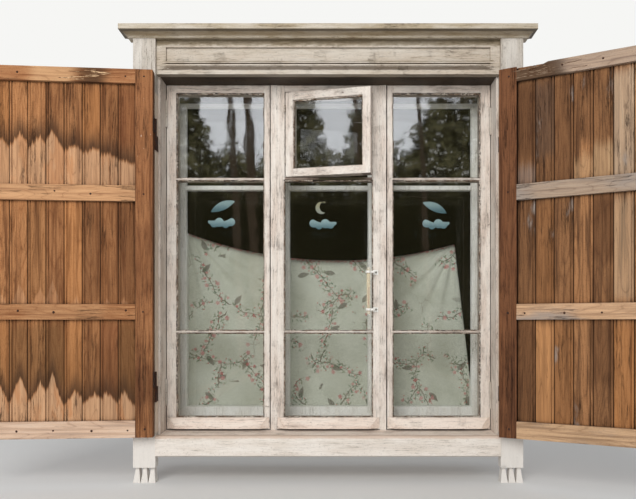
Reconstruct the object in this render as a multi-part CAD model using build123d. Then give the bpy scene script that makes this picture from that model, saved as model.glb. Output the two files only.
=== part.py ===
"""Three-light timber window with a vent light, its carved surround and a pair of board shutters.

Millimetres. X runs to the right as seen from outside, Y runs inwards from the wall's outer
face, Z runs up from the underside of the box frame. The origin is at the middle of that
underside, in the plane of the wall's outer face.
"""

from build123d import *
import os

os.makedirs("parts", exist_ok=True)

# Widths across the window, from its middle outwards
CENTRE_DAYLIGHT = 362
CENTRE_STILE_W = 31.6
CENTRE_FIT = 0.4
MULLION_NOSE_W = 26
CASEMENT_GAP = 4
MEETING_STILE_W = 26
SIDE_DAYLIGHT = 356.5
HINGE_STILE_W = 43
HINGE_GAP = 3
FRAME_STEP = 8.5
CASING_W = 88
JAMB_T = 45
STOP_W = 17
MULLION_STOP_LAP = 13

# Heights, from the underside of the box frame upwards
FRAME_RAIL_H = 40
SILL_T = 25.5
SILL_CLEAR = 3.5
BOTTOM_RAIL_H = 51.3
LOW_PANE_H = 344.5
LOW_BAR_H = 13.8
MIDDLE_PANE_H = 617.8
HIGH_BAR_H = 14.4
TOP_PANE_H = 344.6
TOP_RAIL_H = 35.1
HEAD_CLEAR = 1.5
CENTRE_TOP_RAIL_H = 28
HEAD_T = 48
INNER_SILL_RISE = 42
FRIEZE_H = 137
CORNICE_H = 37

# Depths, from the wall's outer face
CASING_T = 40
FRIEZE_T = 28
REVEAL_D = 85
SASH_T = 43
STOP_FIT = 0.5
AIR_SPACE = 126
INNER_SASH_T = 38
INNER_SETBACK = 2
APRON_D = 45
APRON_T = 27
SILL_FALL = 3

# Joinery of the lights; a cutter runs past the face it opens by the overcut
OVERCUT = 1
GLASS_T = 3
GLASS_SET = 12
GLASS_LET = 4
GLASS_FIT = 0.3
PUTTY_W = 4.5
TENON_L = 16
TENON_T = 12
TENON_SET = 20
TENON_SHOULDER = 3
TENON_FIT = 0.2

# Weatherboards across the bottom rails
WEATHER_H = 44
WEATHER_D = 25
WEATHER_TOP_D = 6
WEATHER_RISE = 5
WEATHER_BEVEL = 36
WEATHER_INSET = 2

# Vent light
VENT_MEMBER_W = 36
VENT_HINGE_CLEAR = 2.5
VENT_FREE_CLEAR = 4.5
VENT_CLEAR = 2
VENT_ANGLE = 12
VENT_KNUCKLE_R = 3.5
VENT_HINGE_H = 28
VENT_HINGE_INSET = 53

# Turn button inside the vent
BUTTON_L = 36
BUTTON_W = 14
BUTTON_T = 3
BUTTON_PIVOT_INSET = 18
BUTTON_FIT = 0.4

# Hinges of the casements
KNUCKLE_R = 5
KNUCKLE_CLEAR = 0.5
LEAF_T = 2
LEAF_D = 30
CASEMENT_HINGE_H = 111
LEFT_HINGE_RISES = (97, 1246)
RIGHT_HINGE_RISES = (86, 1215)
PIN_SHARE = 0.5
PIN_FIT = 0.05
HINGE_JOINT = 0.3
HINGE_CAP = 3

# Tower bolts inside the casements
BOLT_R = 3
BOLT_L = 120
BOLT_THROW = 14
BOLT_FIT = 0.3
BOLT_TOP_CLEAR = 2
BOLT_HOLE_SET = 1
BOLT_KNOB_R = 4
BOLT_KNOB_L = 16
GUIDE_T = 2
GUIDE_LOOP_H = 10
GUIDE_WALL = 2

# Inner window
INNER_MEETING_LAP = 3.5
INNER_STILE_CENTRE_W = 41.6
INNER_FIT = 0.4
INNER_BOTTOM_RAIL_H = 60
INNER_BAR_H = 26
INNER_BAR_RISE = 1008.5
INNER_TOP_RAIL_H = 36

# Surround
FRIEZE_END_W = 38
FRIEZE_PANEL_RISE = 32
FRIEZE_PANEL_H = 74
FRIEZE_PANEL_D = 8
BEAD_R = 5
TOOTH_COUNT = 3
TOOTH_H = 59.5
TOOTH_TOP_W = 12
TOOTH_FOOT_W = 28
TOOTH_TOP_T = 26
CASING_DROP = 62
APRON_H = 80.5
APRON_ARRIS = 4
CORNICE_FILLET_H = 21.5
CORNICE_FILLET_D = 5
CORNICE_FRONT = 85
CORNICE_NECK = 45
CORNICE_NECK_H = 3.5
CORNICE_END_NECK = 20
CORNICE_END_FRONT = 44

# Shutters, given as they are when shut
SHUTTER_T = 38
SHUTTER_BACK_CLEAR = 2
SHUTTER_MEETING_GAP = 6
SHUTTER_EDGE_GAP = 4
SHUTTER_BOTTOM_CLEAR = 3.5
SHUTTER_TOP_CLEAR = 7
SHUTTER_STILE_W = 66
SHUTTER_RAIL_HEIGHTS = (65, 59.5, 60, 54)
SHUTTER_RAIL_RISES = (0, 454.5, 910.5)
SHUTTER_RAIL_T = 16
BOARD_COUNT = 8
BOARD_VEE = 3
BOARD_TONGUE = 6
BOARD_TONGUE_T = 6
BOARD_BEAD_SET = 10
BOARD_FIT = 0.3
SHUTTER_TENON_L = 20
SHUTTER_TENON_T = 8
SHUTTER_KNUCKLE_R = 5.5
SHUTTER_LEAF_T = 1.5
SHUTTER_LEAF_D = 34
SHUTTER_HINGE_H = 120
SHUTTER_HINGE_RISES = (131, 1123)
LEFT_SHUTTER_ANGLE = 175.5
RIGHT_SHUTTER_ANGLE = 153.5
BROKEN_RAIL_L = 118
BROKEN_RAIL_H = 26
BROKEN_EDGE = ((0, 0.45), (0.12, 0.85), (0.3, 0.6), (0.42, 1), (0.68, 0.55), (0.8, 0.3))

# Thermometer on the centre light
THERMO_TUBE_R = 8.5
THERMO_L = 194.5
THERMO_RISE = 474
THERMO_STANDOFF = 35
THERMO_OVERHANG = 17.5
BRACKET_H = 9
BRACKET_WALL = 2.5
BRACKET_INSET = 16
BRACKET_T = 4
BRACKET_FOOT_W = 22
BRACKET_FOOT_H = 20
THERMO_FIT = 0.1
SCREW_R = 2
SCREW_HEAD_R = 4
SCREW_HEAD_T = 2
SCREW_L = 12

# Cloth behind the inner window, its nails, and the bent nail on the left casement
CLOTH_T = 1.2
CLOTH_CLEAR = 0.3
CLOTH_LEFT = 640
CLOTH_LEFT_TOP = 918
CLOTH_SAG_TOP = 765
CLOTH_SAG_AT = 60
CLOTH_RIGHT = 563
CLOTH_RIGHT_TOP = 866
CLOTH_RIGHT_FOOT = 650
CLOTH_FOOT = 108
CLOTH_TAB_W = 5
CLOTH_TAB_L = 77
CLOTH_TAB_RISE = 27
CLOTH_NAIL_R = 1.5
CLOTH_NAIL_HEAD_R = 3.5
CLOTH_NAIL_HEAD_T = 1
CLOTH_NAIL_L = 14
BENT_NAIL_R = 1.5
BENT_NAIL_RISE = 96
BENT_NAIL_OUT = 9
BENT_NAIL_ARM = 22
BENT_NAIL_ANGLE = 12

# Places across the window
centre_day = CENTRE_DAYLIGHT / 2
centre_edge = centre_day + CENTRE_STILE_W
nose_in = centre_edge + CENTRE_FIT
nose_out = nose_in + MULLION_NOSE_W
meeting_edge = nose_out + CASEMENT_GAP
side_day_in = meeting_edge + MEETING_STILE_W
side_day_out = side_day_in + SIDE_DAYLIGHT
hinge_edge = side_day_out + HINGE_STILE_W
jamb_face = hinge_edge + HINGE_GAP
jamb_back = jamb_face + JAMB_T
casing_in = jamb_face + FRAME_STEP
casing_out = casing_in + CASING_W
stop_in = nose_in - MULLION_STOP_LAP
stop_out = nose_out + MULLION_STOP_LAP

# Heights of the lights
sill_top = FRAME_RAIL_H + SILL_T
sash_bottom = sill_top + SILL_CLEAR
low_day = (sash_bottom + BOTTOM_RAIL_H, sash_bottom + BOTTOM_RAIL_H + LOW_PANE_H)
middle_day = (low_day[1] + LOW_BAR_H, low_day[1] + LOW_BAR_H + MIDDLE_PANE_H)
top_day = (middle_day[1] + HIGH_BAR_H, middle_day[1] + HIGH_BAR_H + TOP_PANE_H)
sash_top = top_day[1] + TOP_RAIL_H
soffit = sash_top + HEAD_CLEAR
vent_hole = (top_day[0], sash_top - CENTRE_TOP_RAIL_H)
inner_sill = FRAME_RAIL_H + INNER_SILL_RISE
frieze_top = soffit + FRIEZE_H
cornice_top = frieze_top + CORNICE_H

# Depths of the frame
sash_back = REVEAL_D + SASH_T
stop_front = sash_back + STOP_FIT
stop_back = stop_front + AIR_SPACE
inner_front = stop_back + STOP_FIT
inner_back = inner_front + INNER_SASH_T
frame_back = inner_back + INNER_SETBACK

LEFT = -1
RIGHT = 1
SIDE_NAMES = {LEFT: "left", RIGHT: "right"}


def block(x, y, z):
    """A square-edged piece between two values along each axis."""
    low = [min(pair) for pair in (x, y, z)]
    high = [max(pair) for pair in (x, y, z)]
    size = [b - a for a, b in zip(low, high)]
    centre = [(a + b) / 2 for a, b in zip(low, high)]
    return Pos(*centre) * Box(*size)


def upright(radius, x, y, z):
    """A round bar standing along Z."""
    return Pos(x, y, (z[0] + z[1]) / 2) * Cylinder(radius, z[1] - z[0])


def along_x(points, x):
    """A section drawn in Y and Z, run between two values of X."""
    face = make_face(Polyline(*points, close=True))
    plane = Plane(origin=(min(x), 0, 0), x_dir=(0, 1, 0), z_dir=(1, 0, 0))
    return extrude(plane * face, abs(x[1] - x[0]))


def along_z(points, z):
    """A section drawn in X and Y, run between two heights."""
    return Pos(0, 0, z[0]) * extrude(make_face(Polyline(*points, close=True)), z[1] - z[0])


def framed_face(x, y, z):
    """An upright rectangle at one depth, facing outwards."""
    plane = Plane(
        origin=((x[0] + x[1]) / 2, y, (z[0] + z[1]) / 2), x_dir=(1, 0, 0), z_dir=(0, -1, 0)
    )
    return plane * Rectangle(x[1] - x[0], z[1] - z[0])


def grown(pair, by):
    """A pair of values spread at both ends."""
    return (min(pair) - by, max(pair) + by)


def less(solid, cutters):
    """A piece with every cutter taken out of it."""
    for cutter in cutters:
        solid = solid - cutter
    return solid


def save(name, pieces):
    """One named part, as one solid or as a group of separate solids."""
    solids = [solid for piece in pieces for solid in piece.solids()]
    whole = solids[0] if len(solids) == 1 else Compound(children=solids)
    export_step(whole, f"parts/{name}.step")


# Lights: stiles, tenoned rails and bars, and panes bedded in putty


def putty_bevel(x, z, face):
    """The splayed space in front of one pane, from the glass out to the light's face."""
    front = face - OVERCUT
    spread = PUTTY_W * (GLASS_SET + OVERCUT) / GLASS_SET
    near = framed_face(grown(x, spread), front, grown(z, spread))
    far = framed_face(x, face + GLASS_SET, z)
    return loft([near, far], ruled=True)


def make_light(x_out, x_day, z_out, days, face, thick, glazed):
    """Stiles, rails with bars, and panes of one light; days are its daylight heights, lowest first."""
    depth = (face, face + thick)
    pane_depth = (face + GLASS_SET, face + GLASS_SET + GLASS_T)
    tenon_depth = (face + TENON_SET, face + TENON_SET + TENON_T)
    levels = [z_out[0]] + [z for day in days for z in day] + [z_out[1]]
    spans = list(zip(levels[0::2], levels[1::2]))

    cutters = []
    panes = []
    for day, has_glass in zip(days, glazed):
        if has_glass:
            pane = [grown(x_day, GLASS_LET), pane_depth, grown(day, GLASS_LET)]
            panes.append(block(*pane))
            cutters.append(block(*[grown(side, GLASS_FIT) for side in pane]))
            cutters.append(putty_bevel(x_day, day, face))

    cross_pieces = []
    mortises = []
    for low, high in spans:
        tenon = [grown(x_day, TENON_L), tenon_depth, grown((low, high), -TENON_SHOULDER)]
        cross_pieces.append(less(block(x_day, depth, (low, high)) + block(*tenon), cutters))
        mortises.append(block(*[grown(side, TENON_FIT) for side in tenon]))

    stiles = [
        less(block((x_out[0], x_day[0]), depth, z_out), cutters + mortises),
        less(block((x_day[1], x_out[1]), depth, z_out), cutters + mortises),
    ]
    return stiles, cross_pieces, panes


def weatherboard(x):
    """A sloped board across a bottom rail, its ends splayed back to pass the jamb."""
    low = sash_bottom + WEATHER_RISE
    high = low + WEATHER_H
    board = along_x(
        [
            (REVEAL_D, low),
            (REVEAL_D - WEATHER_D, low),
            (REVEAL_D - WEATHER_D, low + WEATHER_H / 4),
            (REVEAL_D - WEATHER_TOP_D, high),
            (REVEAL_D, high),
        ],
        x,
    )
    plan = [
        (x[0], REVEAL_D),
        (x[0] + WEATHER_BEVEL, REVEAL_D - WEATHER_D),
        (x[1] - WEATHER_BEVEL, REVEAL_D - WEATHER_D),
        (x[1], REVEAL_D),
    ]
    return board & along_z(plan, (low, high))


# Hinges: the lower half carries the pin, the upper half drops over it


def hinge_halves(axis, z, radius, fixed_leaf, moving_leaf):
    """The fixed lower half with its pin, and the moving upper half with its socket."""
    x, y = axis
    middle = (z[0] + z[1]) / 2
    pin_top = z[1] - HINGE_CAP
    pin_r = radius * PIN_SHARE
    fixed = upright(radius, x, y, (z[0], middle)) + upright(pin_r, x, y, (middle, pin_top))
    fixed = fixed + block(*fixed_leaf, (z[0], middle))
    lifted = middle + HINGE_JOINT
    moving = upright(radius, x, y, (lifted, z[1])) + block(*moving_leaf, (lifted, z[1]))
    socket = upright(pin_r + PIN_FIT, x, y, (lifted - OVERCUT, pin_top + HINGE_JOINT))
    return fixed, moving - socket


def casement_axis(side):
    """The upright line that a casement turns about."""
    return (side * (hinge_edge + HINGE_GAP / 2), REVEAL_D - KNUCKLE_R - KNUCKLE_CLEAR)


def casement_hinge_heights(side):
    """The heights that the two hinges of a casement take up."""
    rises = LEFT_HINGE_RISES if side == LEFT else RIGHT_HINGE_RISES
    return [(sash_bottom + rise, sash_bottom + rise + CASEMENT_HINGE_H) for rise in rises]


def casement_hinges(side):
    """Fixed and moving halves of a casement's two hinges."""
    axis = casement_axis(side)
    run = (axis[1], REVEAL_D + LEAF_D)
    fixed_leaf = ((side * (jamb_face - LEAF_T), side * jamb_face), run)
    moving_leaf = ((side * hinge_edge, side * (hinge_edge + LEAF_T)), run)
    heights = casement_hinge_heights(side)
    halves = [hinge_halves(axis, z, KNUCKLE_R, fixed_leaf, moving_leaf) for z in heights]
    return [half[0] for half in halves], [half[1] for half in halves]


# Box frame and mullions


def frame_jamb(side):
    """One side of the box frame, with its stop between the windows and notches for knuckles."""
    x = (side * jamb_face, side * jamb_back)
    stop = (side * (jamb_face - STOP_W), side * jamb_face)
    jamb = block(x, (0, frame_back), (0, soffit))
    jamb = jamb + block(stop, (stop_front, stop_back), (inner_sill, soffit - STOP_W))
    axis = casement_axis(side)
    for low, high in casement_hinge_heights(side):
        jamb = jamb - upright(KNUCKLE_R + KNUCKLE_CLEAR, *axis, grown((low, high), KNUCKLE_CLEAR))
    return jamb


def frame_head():
    """The top of the box frame, bored for the two tower bolts."""
    head = block((-jamb_back, jamb_back), (0, frame_back), (soffit, soffit + HEAD_T))
    stop = block((-jamb_face, jamb_face), (stop_front, stop_back), (soffit - STOP_W, soffit))
    for side in (LEFT, RIGHT):
        hole_z = (soffit - STOP_W - OVERCUT, soffit - BOLT_HOLE_SET)
        hole = upright(BOLT_R + BOLT_FIT, *bolt_place(side), hole_z)
        stop = stop - hole
    return head + stop


def frame_bottom():
    """The bottom of the box frame, raised behind the outer lights."""
    x = (-jamb_face, jamb_face)
    return block(x, (APRON_T - APRON_D, frame_back), (0, FRAME_RAIL_H)) + block(
        x, (stop_front, frame_back), (FRAME_RAIL_H, inner_sill)
    )


def sill_board():
    """The weathered board under the outer lights, falling outwards."""
    front = APRON_T - APRON_D
    return along_x(
        [
            (front, FRAME_RAIL_H),
            (sash_back, FRAME_RAIL_H),
            (sash_back, sill_top),
            (REVEAL_D, sill_top),
            (front, sill_top - SILL_FALL),
        ],
        (-jamb_face, jamb_face),
    )


def apron_board():
    """The board in front of the sill, between the casings."""
    top = sill_top - SILL_FALL
    bottom = top - APRON_H
    return along_x(
        [
            (-APRON_D, bottom + APRON_ARRIS),
            (-APRON_D + APRON_ARRIS, bottom),
            (-APRON_D + APRON_T, bottom),
            (-APRON_D + APRON_T, top),
            (-APRON_D, top),
        ],
        (-casing_in, casing_in),
    )


def mullion(side):
    """A post between two lights: a nose outside, a wide stop, and a nose for the inner window."""
    nose = (side * nose_in, side * nose_out)
    stop = (side * stop_in, side * stop_out)
    outer = block(nose, (REVEAL_D, stop_front), (sill_top, soffit))
    middle = block(stop, (stop_front, stop_back), (inner_sill, soffit - STOP_W))
    inner = block(nose, (stop_back, inner_back), (inner_sill, soffit))
    return outer + middle + inner


# Surround


def casing(side):
    """A side casing in one board, its foot carved into flared teeth."""
    bottom = -CASING_DROP
    board = block((side * casing_in, side * casing_out), (-CASING_T, 0), (bottom, frieze_top))
    pitch = (CASING_W - TOOTH_FOOT_W) / (TOOTH_COUNT - 1)
    for number in range(TOOTH_COUNT):
        x = side * (casing_in + TOOTH_FOOT_W / 2 + number * pitch)
        top_face = Pos(x, -TOOTH_TOP_T / 2, bottom) * Rectangle(TOOTH_TOP_W, TOOTH_TOP_T)
        foot_face = Pos(x, -CASING_T / 2, bottom - TOOTH_H) * Rectangle(TOOTH_FOOT_W, CASING_T)
        board = board + loft([foot_face, top_face], ruled=True)
    return board


def frieze_board():
    """The board over the head, with a sunk panel."""
    board = block((-casing_in, casing_in), (-FRIEZE_T, 0), (soffit, frieze_top))
    panel_x = casing_in - FRIEZE_END_W
    panel_z = (soffit + FRIEZE_PANEL_RISE, soffit + FRIEZE_PANEL_RISE + FRIEZE_PANEL_H)
    panel_y = (-FRIEZE_T - OVERCUT, -FRIEZE_T + FRIEZE_PANEL_D)
    return board - block((-panel_x, panel_x), panel_y, panel_z)


def frieze_moulding():
    """Twin beads along the foot of the sunk panel."""
    half = casing_in - FRIEZE_END_W
    floor_y = -FRIEZE_T + FRIEZE_PANEL_D
    low = soffit + FRIEZE_PANEL_RISE
    strip = block((-half, half), (floor_y - BEAD_R, floor_y), (low, low + 4 * BEAD_R))
    for rise in (BEAD_R, 3 * BEAD_R):
        bead = Pos(0, floor_y - BEAD_R, low + rise) * Rot(0, 90, 0) * Cylinder(BEAD_R, 2 * half)
        strip = strip + bead
    return strip


def cornice_edge(neck, front):
    """The outline of a cornice from its foot up to its top edge, as distance out and height."""
    foot = frieze_top
    shoulder = cornice_top - CORNICE_FILLET_H
    hollow_out = front - CORNICE_FILLET_D
    neck_top = foot + CORNICE_NECK_H
    middle = ((neck * 2 + hollow_out) / 3, (neck_top + shoulder * 2) / 3)
    return [
        Line((0, foot), (neck, foot)),
        Line((neck, foot), (neck, neck_top)),
        ThreePointArc((neck, neck_top), middle, (hollow_out, shoulder)),
        Line((hollow_out, shoulder), (front, shoulder)),
        Line((front, shoulder), (front, cornice_top)),
        Line((front, cornice_top), (0, cornice_top)),
        Line((0, cornice_top), (0, foot)),
    ]


def cornice():
    """The moulded cornice, its hollow returned round both ends."""
    end = casing_out + CORNICE_END_FRONT
    front_face = make_face(cornice_edge(CORNICE_NECK, CORNICE_FRONT))
    front_plane = Plane(origin=(end, 0, 0), x_dir=(0, -1, 0), z_dir=(-1, 0, 0))
    run = extrude(front_plane * front_face, 2 * end)
    neck_end = casing_out + CORNICE_END_NECK
    end_face = make_face(cornice_edge(neck_end, end))
    end_plane = Plane(origin=(0, 0, 0), x_dir=(1, 0, 0), z_dir=(0, -1, 0))
    half = extrude(end_plane * end_face, CORNICE_FRONT)
    return run & (half + mirror(half, about=Plane.YZ))


# Casements


def casement_light(side):
    """The timber and glass of one casement."""
    x_out = sorted((side * meeting_edge, side * hinge_edge))
    x_day = sorted((side * side_day_in, side * side_day_out))
    days = [low_day, middle_day, top_day]
    return make_light(
        x_out, x_day, (sash_bottom, sash_top), days, REVEAL_D, SASH_T, [True, True, True]
    )


def bolt_place(side):
    """Where a tower bolt stands on a casement's inner face, clear of the mullion."""
    return (side * (stop_out + side_day_in) / 2, sash_back + GUIDE_T + BOLT_R + BOLT_FIT)


def tower_bolt(side):
    """A drawn-back bolt, with the knob that slides it."""
    x, y = bolt_place(side)
    top = soffit - STOP_W - BOLT_TOP_CLEAR
    rod = upright(BOLT_R, x, y, (top - BOLT_L, top))
    knob_z = top - BOLT_L / 2
    knob_y = y + BOLT_KNOB_L / 2
    knob = Pos(x, knob_y, knob_z) * Rot(90, 0, 0) * Cylinder(BOLT_KNOB_R / 2, BOLT_KNOB_L)
    button = Pos(x, y + BOLT_KNOB_L, knob_z) * Sphere(BOLT_KNOB_R)
    return rod + knob + button


def bolt_guide(side):
    """The back plate of a tower bolt, with a loop near each end."""
    x, y = bolt_place(side)
    top = soffit - STOP_W - BOLT_TOP_CLEAR
    reach = BOLT_R + BOLT_FIT + GUIDE_WALL
    plate_z = (top - BOLT_L, top - BOLT_THROW / 2)
    guide = block(grown((x, x), reach), (sash_back, sash_back + GUIDE_T), plate_z)
    for low in (plate_z[0], plate_z[1] - GUIDE_LOOP_H):
        loop_z = (low, low + GUIDE_LOOP_H)
        loop = block(grown((x, x), reach), (sash_back, y + reach), loop_z)
        guide = guide + loop
    return guide - upright(BOLT_R + BOLT_FIT, x, y, grown(plate_z, OVERCUT))


def bent_nail():
    """A nail in the left meeting stile, driven half home and bent over sideways."""
    x = LEFT * (side_day_in + meeting_edge) / 2
    z = sash_bottom + BENT_NAIL_RISE
    shank = Pos(x, REVEAL_D, z) * Rot(90, 0, 0) * Cylinder(BENT_NAIL_R, 2 * BENT_NAIL_OUT)
    arm_y = REVEAL_D - BENT_NAIL_OUT
    arm = Pos(x, arm_y, z) * Rot(0, 90 + BENT_NAIL_ANGLE, 0) * Cylinder(BENT_NAIL_R, BENT_NAIL_ARM)
    return shank + arm


# Centre light and vent


def centre_light():
    """The fixed light, open at its top for the vent."""
    x_day = (-centre_day, centre_day)
    days = [low_day, middle_day, vent_hole]
    return make_light(
        (-centre_edge, centre_edge),
        x_day,
        (sash_bottom, sash_top),
        days,
        REVEAL_D,
        SASH_T,
        [True, True, False],
    )


def vent_axis():
    """The upright line that the vent turns about."""
    x = -centre_day + VENT_HINGE_CLEAR / 2
    return (x, REVEAL_D - VENT_KNUCKLE_R - KNUCKLE_CLEAR)


def ajar(piece):
    """A vent piece turned out to where the vent stands."""
    return piece.rotate(Axis((*vent_axis(), 0), (0, 0, 1)), -VENT_ANGLE)


vent_edges = (-centre_day + VENT_HINGE_CLEAR, centre_day - VENT_FREE_CLEAR)
vent_heights = grown(vent_hole, -VENT_CLEAR)


def vent_light():
    """The timber and glass of the vent, shut."""
    x_day = grown(vent_edges, -VENT_MEMBER_W)
    day = grown(vent_heights, -VENT_MEMBER_W)
    return make_light(vent_edges, x_day, vent_heights, [day], REVEAL_D, SASH_T, [True])


def vent_hinges():
    """Fixed and moving halves of the vent's two small hinges, shut."""
    axis = vent_axis()
    leaf = VENT_HINGE_CLEAR / 2 - HINGE_JOINT
    run = (axis[1], REVEAL_D + LEAF_D)
    fixed_leaf = ((-centre_day, -centre_day + leaf), run)
    moving_leaf = ((vent_edges[0] - leaf, vent_edges[0]), run)
    low = vent_heights[0] + VENT_HINGE_INSET
    high = vent_heights[1] - VENT_HINGE_INSET - VENT_HINGE_H
    halves = [
        hinge_halves(axis, (z, z + VENT_HINGE_H), VENT_KNUCKLE_R, fixed_leaf, moving_leaf)
        for z in (low, high)
    ]
    return [half[0] for half in halves], [half[1] for half in halves]


def vent_button():
    """A wooden turn button on the vent's inner face, hanging down, with its screw, shut vent."""
    x = vent_edges[1] - BUTTON_PIVOT_INSET
    z = (vent_heights[0] + vent_heights[1]) / 2
    y = (sash_back + BUTTON_FIT, sash_back + BUTTON_FIT + BUTTON_T)
    width = grown((x, x), BUTTON_W / 2)
    button = block(width, y, (z - BUTTON_L, z + BUTTON_W / 2))
    head_y = y[1] + SCREW_HEAD_T / 2
    head = Pos(x, head_y, z) * Rot(90, 0, 0) * Cylinder(SCREW_HEAD_R, SCREW_HEAD_T)
    return button + head


# Inner window


def inner_side_light(side):
    """The timber and glass of one outer light of the inner window."""
    inner_edge = meeting_edge - INNER_MEETING_LAP
    x_out = sorted((side * inner_edge, side * (jamb_face - INNER_FIT)))
    x_day = sorted((side * side_day_in, side * side_day_out))
    return make_light(
        x_out, x_day, inner_heights, inner_days, inner_front, INNER_SASH_T, [True, True]
    )


def inner_centre_light():
    """The timber and glass of the middle light of the inner window."""
    day = centre_edge - INNER_STILE_CENTRE_W
    return make_light(
        (-centre_edge, centre_edge),
        (-day, day),
        inner_heights,
        inner_days,
        inner_front,
        INNER_SASH_T,
        [True, True],
    )


inner_heights = (inner_sill + INNER_FIT, soffit - INNER_FIT)
inner_days = [
    (inner_heights[0] + INNER_BOTTOM_RAIL_H, inner_heights[0] + INNER_BAR_RISE),
    (inner_heights[0] + INNER_BAR_RISE + INNER_BAR_H, inner_heights[1] - INNER_TOP_RAIL_H),
]


# Shutters

shutter_hinge_edge = casing_in - SHUTTER_EDGE_GAP
shutter_free_edge = SHUTTER_MEETING_GAP / 2
shutter_back = -SHUTTER_BACK_CLEAR
shutter_front = shutter_back - SHUTTER_T
shutter_low = sill_top - SILL_FALL + SHUTTER_BOTTOM_CLEAR
shutter_high = soffit - SHUTTER_TOP_CLEAR
rail_depth = (shutter_back - SHUTTER_RAIL_T, shutter_back)
board_depth = (shutter_front, shutter_back - SHUTTER_RAIL_T)
shutter_day = (shutter_free_edge + SHUTTER_STILE_W, shutter_hinge_edge - SHUTTER_STILE_W)


def shutter_axis(side):
    """The upright line that a shutter turns about."""
    x = (shutter_hinge_edge + casing_in) / 2
    return (side * x, min(shutter_front, -CASING_T) - SHUTTER_KNUCKLE_R - KNUCKLE_CLEAR)


def opened(piece, side):
    """A shutter piece turned out to where its shutter stands."""
    angle = LEFT_SHUTTER_ANGLE if side == LEFT else RIGHT_SHUTTER_ANGLE
    return piece.rotate(Axis((*shutter_axis(side), 0), (0, 0, 1)), side * angle)


def shutter_rail_spans():
    """The heights of the four rails, the top one flush with the shutter's top."""
    lows = [shutter_low + rise for rise in SHUTTER_RAIL_RISES]
    lows.append(shutter_high - SHUTTER_RAIL_HEIGHTS[-1])
    return [(low, low + height) for low, height in zip(lows, SHUTTER_RAIL_HEIGHTS)]


def shutter_boards(side):
    """Matched boards, each with a tongue, a vee joint and a run bead on the inner face."""
    pitch = (shutter_day[1] - shutter_day[0]) / BOARD_COUNT
    front, back = board_depth
    tongue = ((front + back - BOARD_TONGUE_T) / 2, (front + back + BOARD_TONGUE_T) / 2)
    boards = []
    for number in range(BOARD_COUNT):
        low = shutter_day[0] + number * pitch
        high = low + pitch
        is_last = number == BOARD_COUNT - 1
        bead = low + BOARD_BEAD_SET
        outline = [
            (low, front),
            (high - BOARD_FIT, front),
            (high - BOARD_FIT, back - BOARD_VEE),
            (high - BOARD_FIT - BOARD_VEE, back),
            (bead + BOARD_VEE, back),
            (bead, back - BOARD_VEE),
            (bead - BOARD_VEE, back),
            (low + BOARD_VEE, back),
            (low, back - BOARD_VEE),
        ]
        board = along_z([(side * x, y) for x, y in outline], (shutter_low, shutter_high))
        lip = (side * (low - BOARD_TONGUE), side * (low + OVERCUT))
        board = board + block(lip, tongue, (shutter_low, shutter_high))
        if is_last:
            lip = (side * (high - OVERCUT), side * (high + BOARD_TONGUE))
            board = board + block(lip, tongue, (shutter_low, shutter_high))
        else:
            groove = (side * (high - BOARD_TONGUE - BOARD_FIT), side * (high + OVERCUT))
            cut_z = grown((shutter_low, shutter_high), OVERCUT)
            board = board - block(groove, grown(tongue, BOARD_FIT), cut_z)
        boards.append(board)
    return boards


def shutter_frame(side):
    """Stiles grooved for the boards, and rails tenoned between them."""
    front, back = board_depth
    middle = (front + back) / 2
    groove_y = grown((middle, middle), BOARD_TONGUE_T / 2 + BOARD_FIT)
    tenon_y = grown((sum(rail_depth) / 2,) * 2, SHUTTER_TENON_T / 2)
    height = (shutter_low, shutter_high)
    rails = []
    mortises = []
    for low, high in shutter_rail_spans():
        x_day = sorted(side * x for x in shutter_day)
        tenon = [grown(x_day, SHUTTER_TENON_L), tenon_y, grown((low, high), -TENON_SHOULDER)]
        rails.append(block(x_day, rail_depth, (low, high)) + block(*tenon))
        mortises.append(block(*[grown(pair, TENON_FIT) for pair in tenon]))
    stiles = []
    for inner, outer, sign in (
        (shutter_day[0], shutter_free_edge, 1),
        (shutter_day[1], shutter_hinge_edge, -1),
    ):
        stile = block((side * inner, side * outer), (shutter_front, shutter_back), height)
        deep = inner - sign * (BOARD_TONGUE + BOARD_FIT)
        groove = block((side * deep, side * (inner + sign * OVERCUT)), groove_y, grown(height, OVERCUT))
        stiles.append(less(stile, mortises + [groove]))
    if side == RIGHT:
        rails[-1] = broken(rails[-1])
    return stiles, rails


def broken(rail):
    """The right shutter's top rail, its upper edge rotted away beside the hinge stile."""
    x = shutter_day[1]
    top = shutter_high
    depth = grown(rail_depth, OVERCUT)
    edge = [(x - BROKEN_RAIL_L * along, top - BROKEN_RAIL_H * down) for along, down in BROKEN_EDGE]
    outline = [(x, top + OVERCUT), *edge, (x - BROKEN_RAIL_L, top + OVERCUT)]
    plane = Plane(origin=(0, depth[1], 0), x_dir=(1, 0, 0), z_dir=(0, -1, 0))
    bite = extrude(plane * make_face(Polyline(*outline, close=True)), depth[1] - depth[0])
    return rail - bite


def shutter_hinges(side):
    """Fixed and moving halves of a shutter's two iron hinges, shut."""
    axis = shutter_axis(side)
    run = (axis[1], -CASING_T + SHUTTER_LEAF_D)
    fixed_leaf = ((side * (casing_in - SHUTTER_LEAF_T), side * casing_in), run)
    leaf_face = shutter_hinge_edge + SHUTTER_LEAF_T
    moving_leaf = ((side * shutter_hinge_edge, side * leaf_face), run)
    halves = []
    for rise in SHUTTER_HINGE_RISES:
        low = shutter_low + rise
        z = (low, low + SHUTTER_HINGE_H)
        halves.append(hinge_halves(axis, z, SHUTTER_KNUCKLE_R, fixed_leaf, moving_leaf))
    return [half[0] for half in halves], [half[1] for half in halves]


# Thermometer

thermo_x = centre_day - THERMO_OVERHANG
thermo_y = REVEAL_D - THERMO_STANDOFF
thermo_z = (sash_bottom + THERMO_RISE, sash_bottom + THERMO_RISE + THERMO_L)


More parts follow.
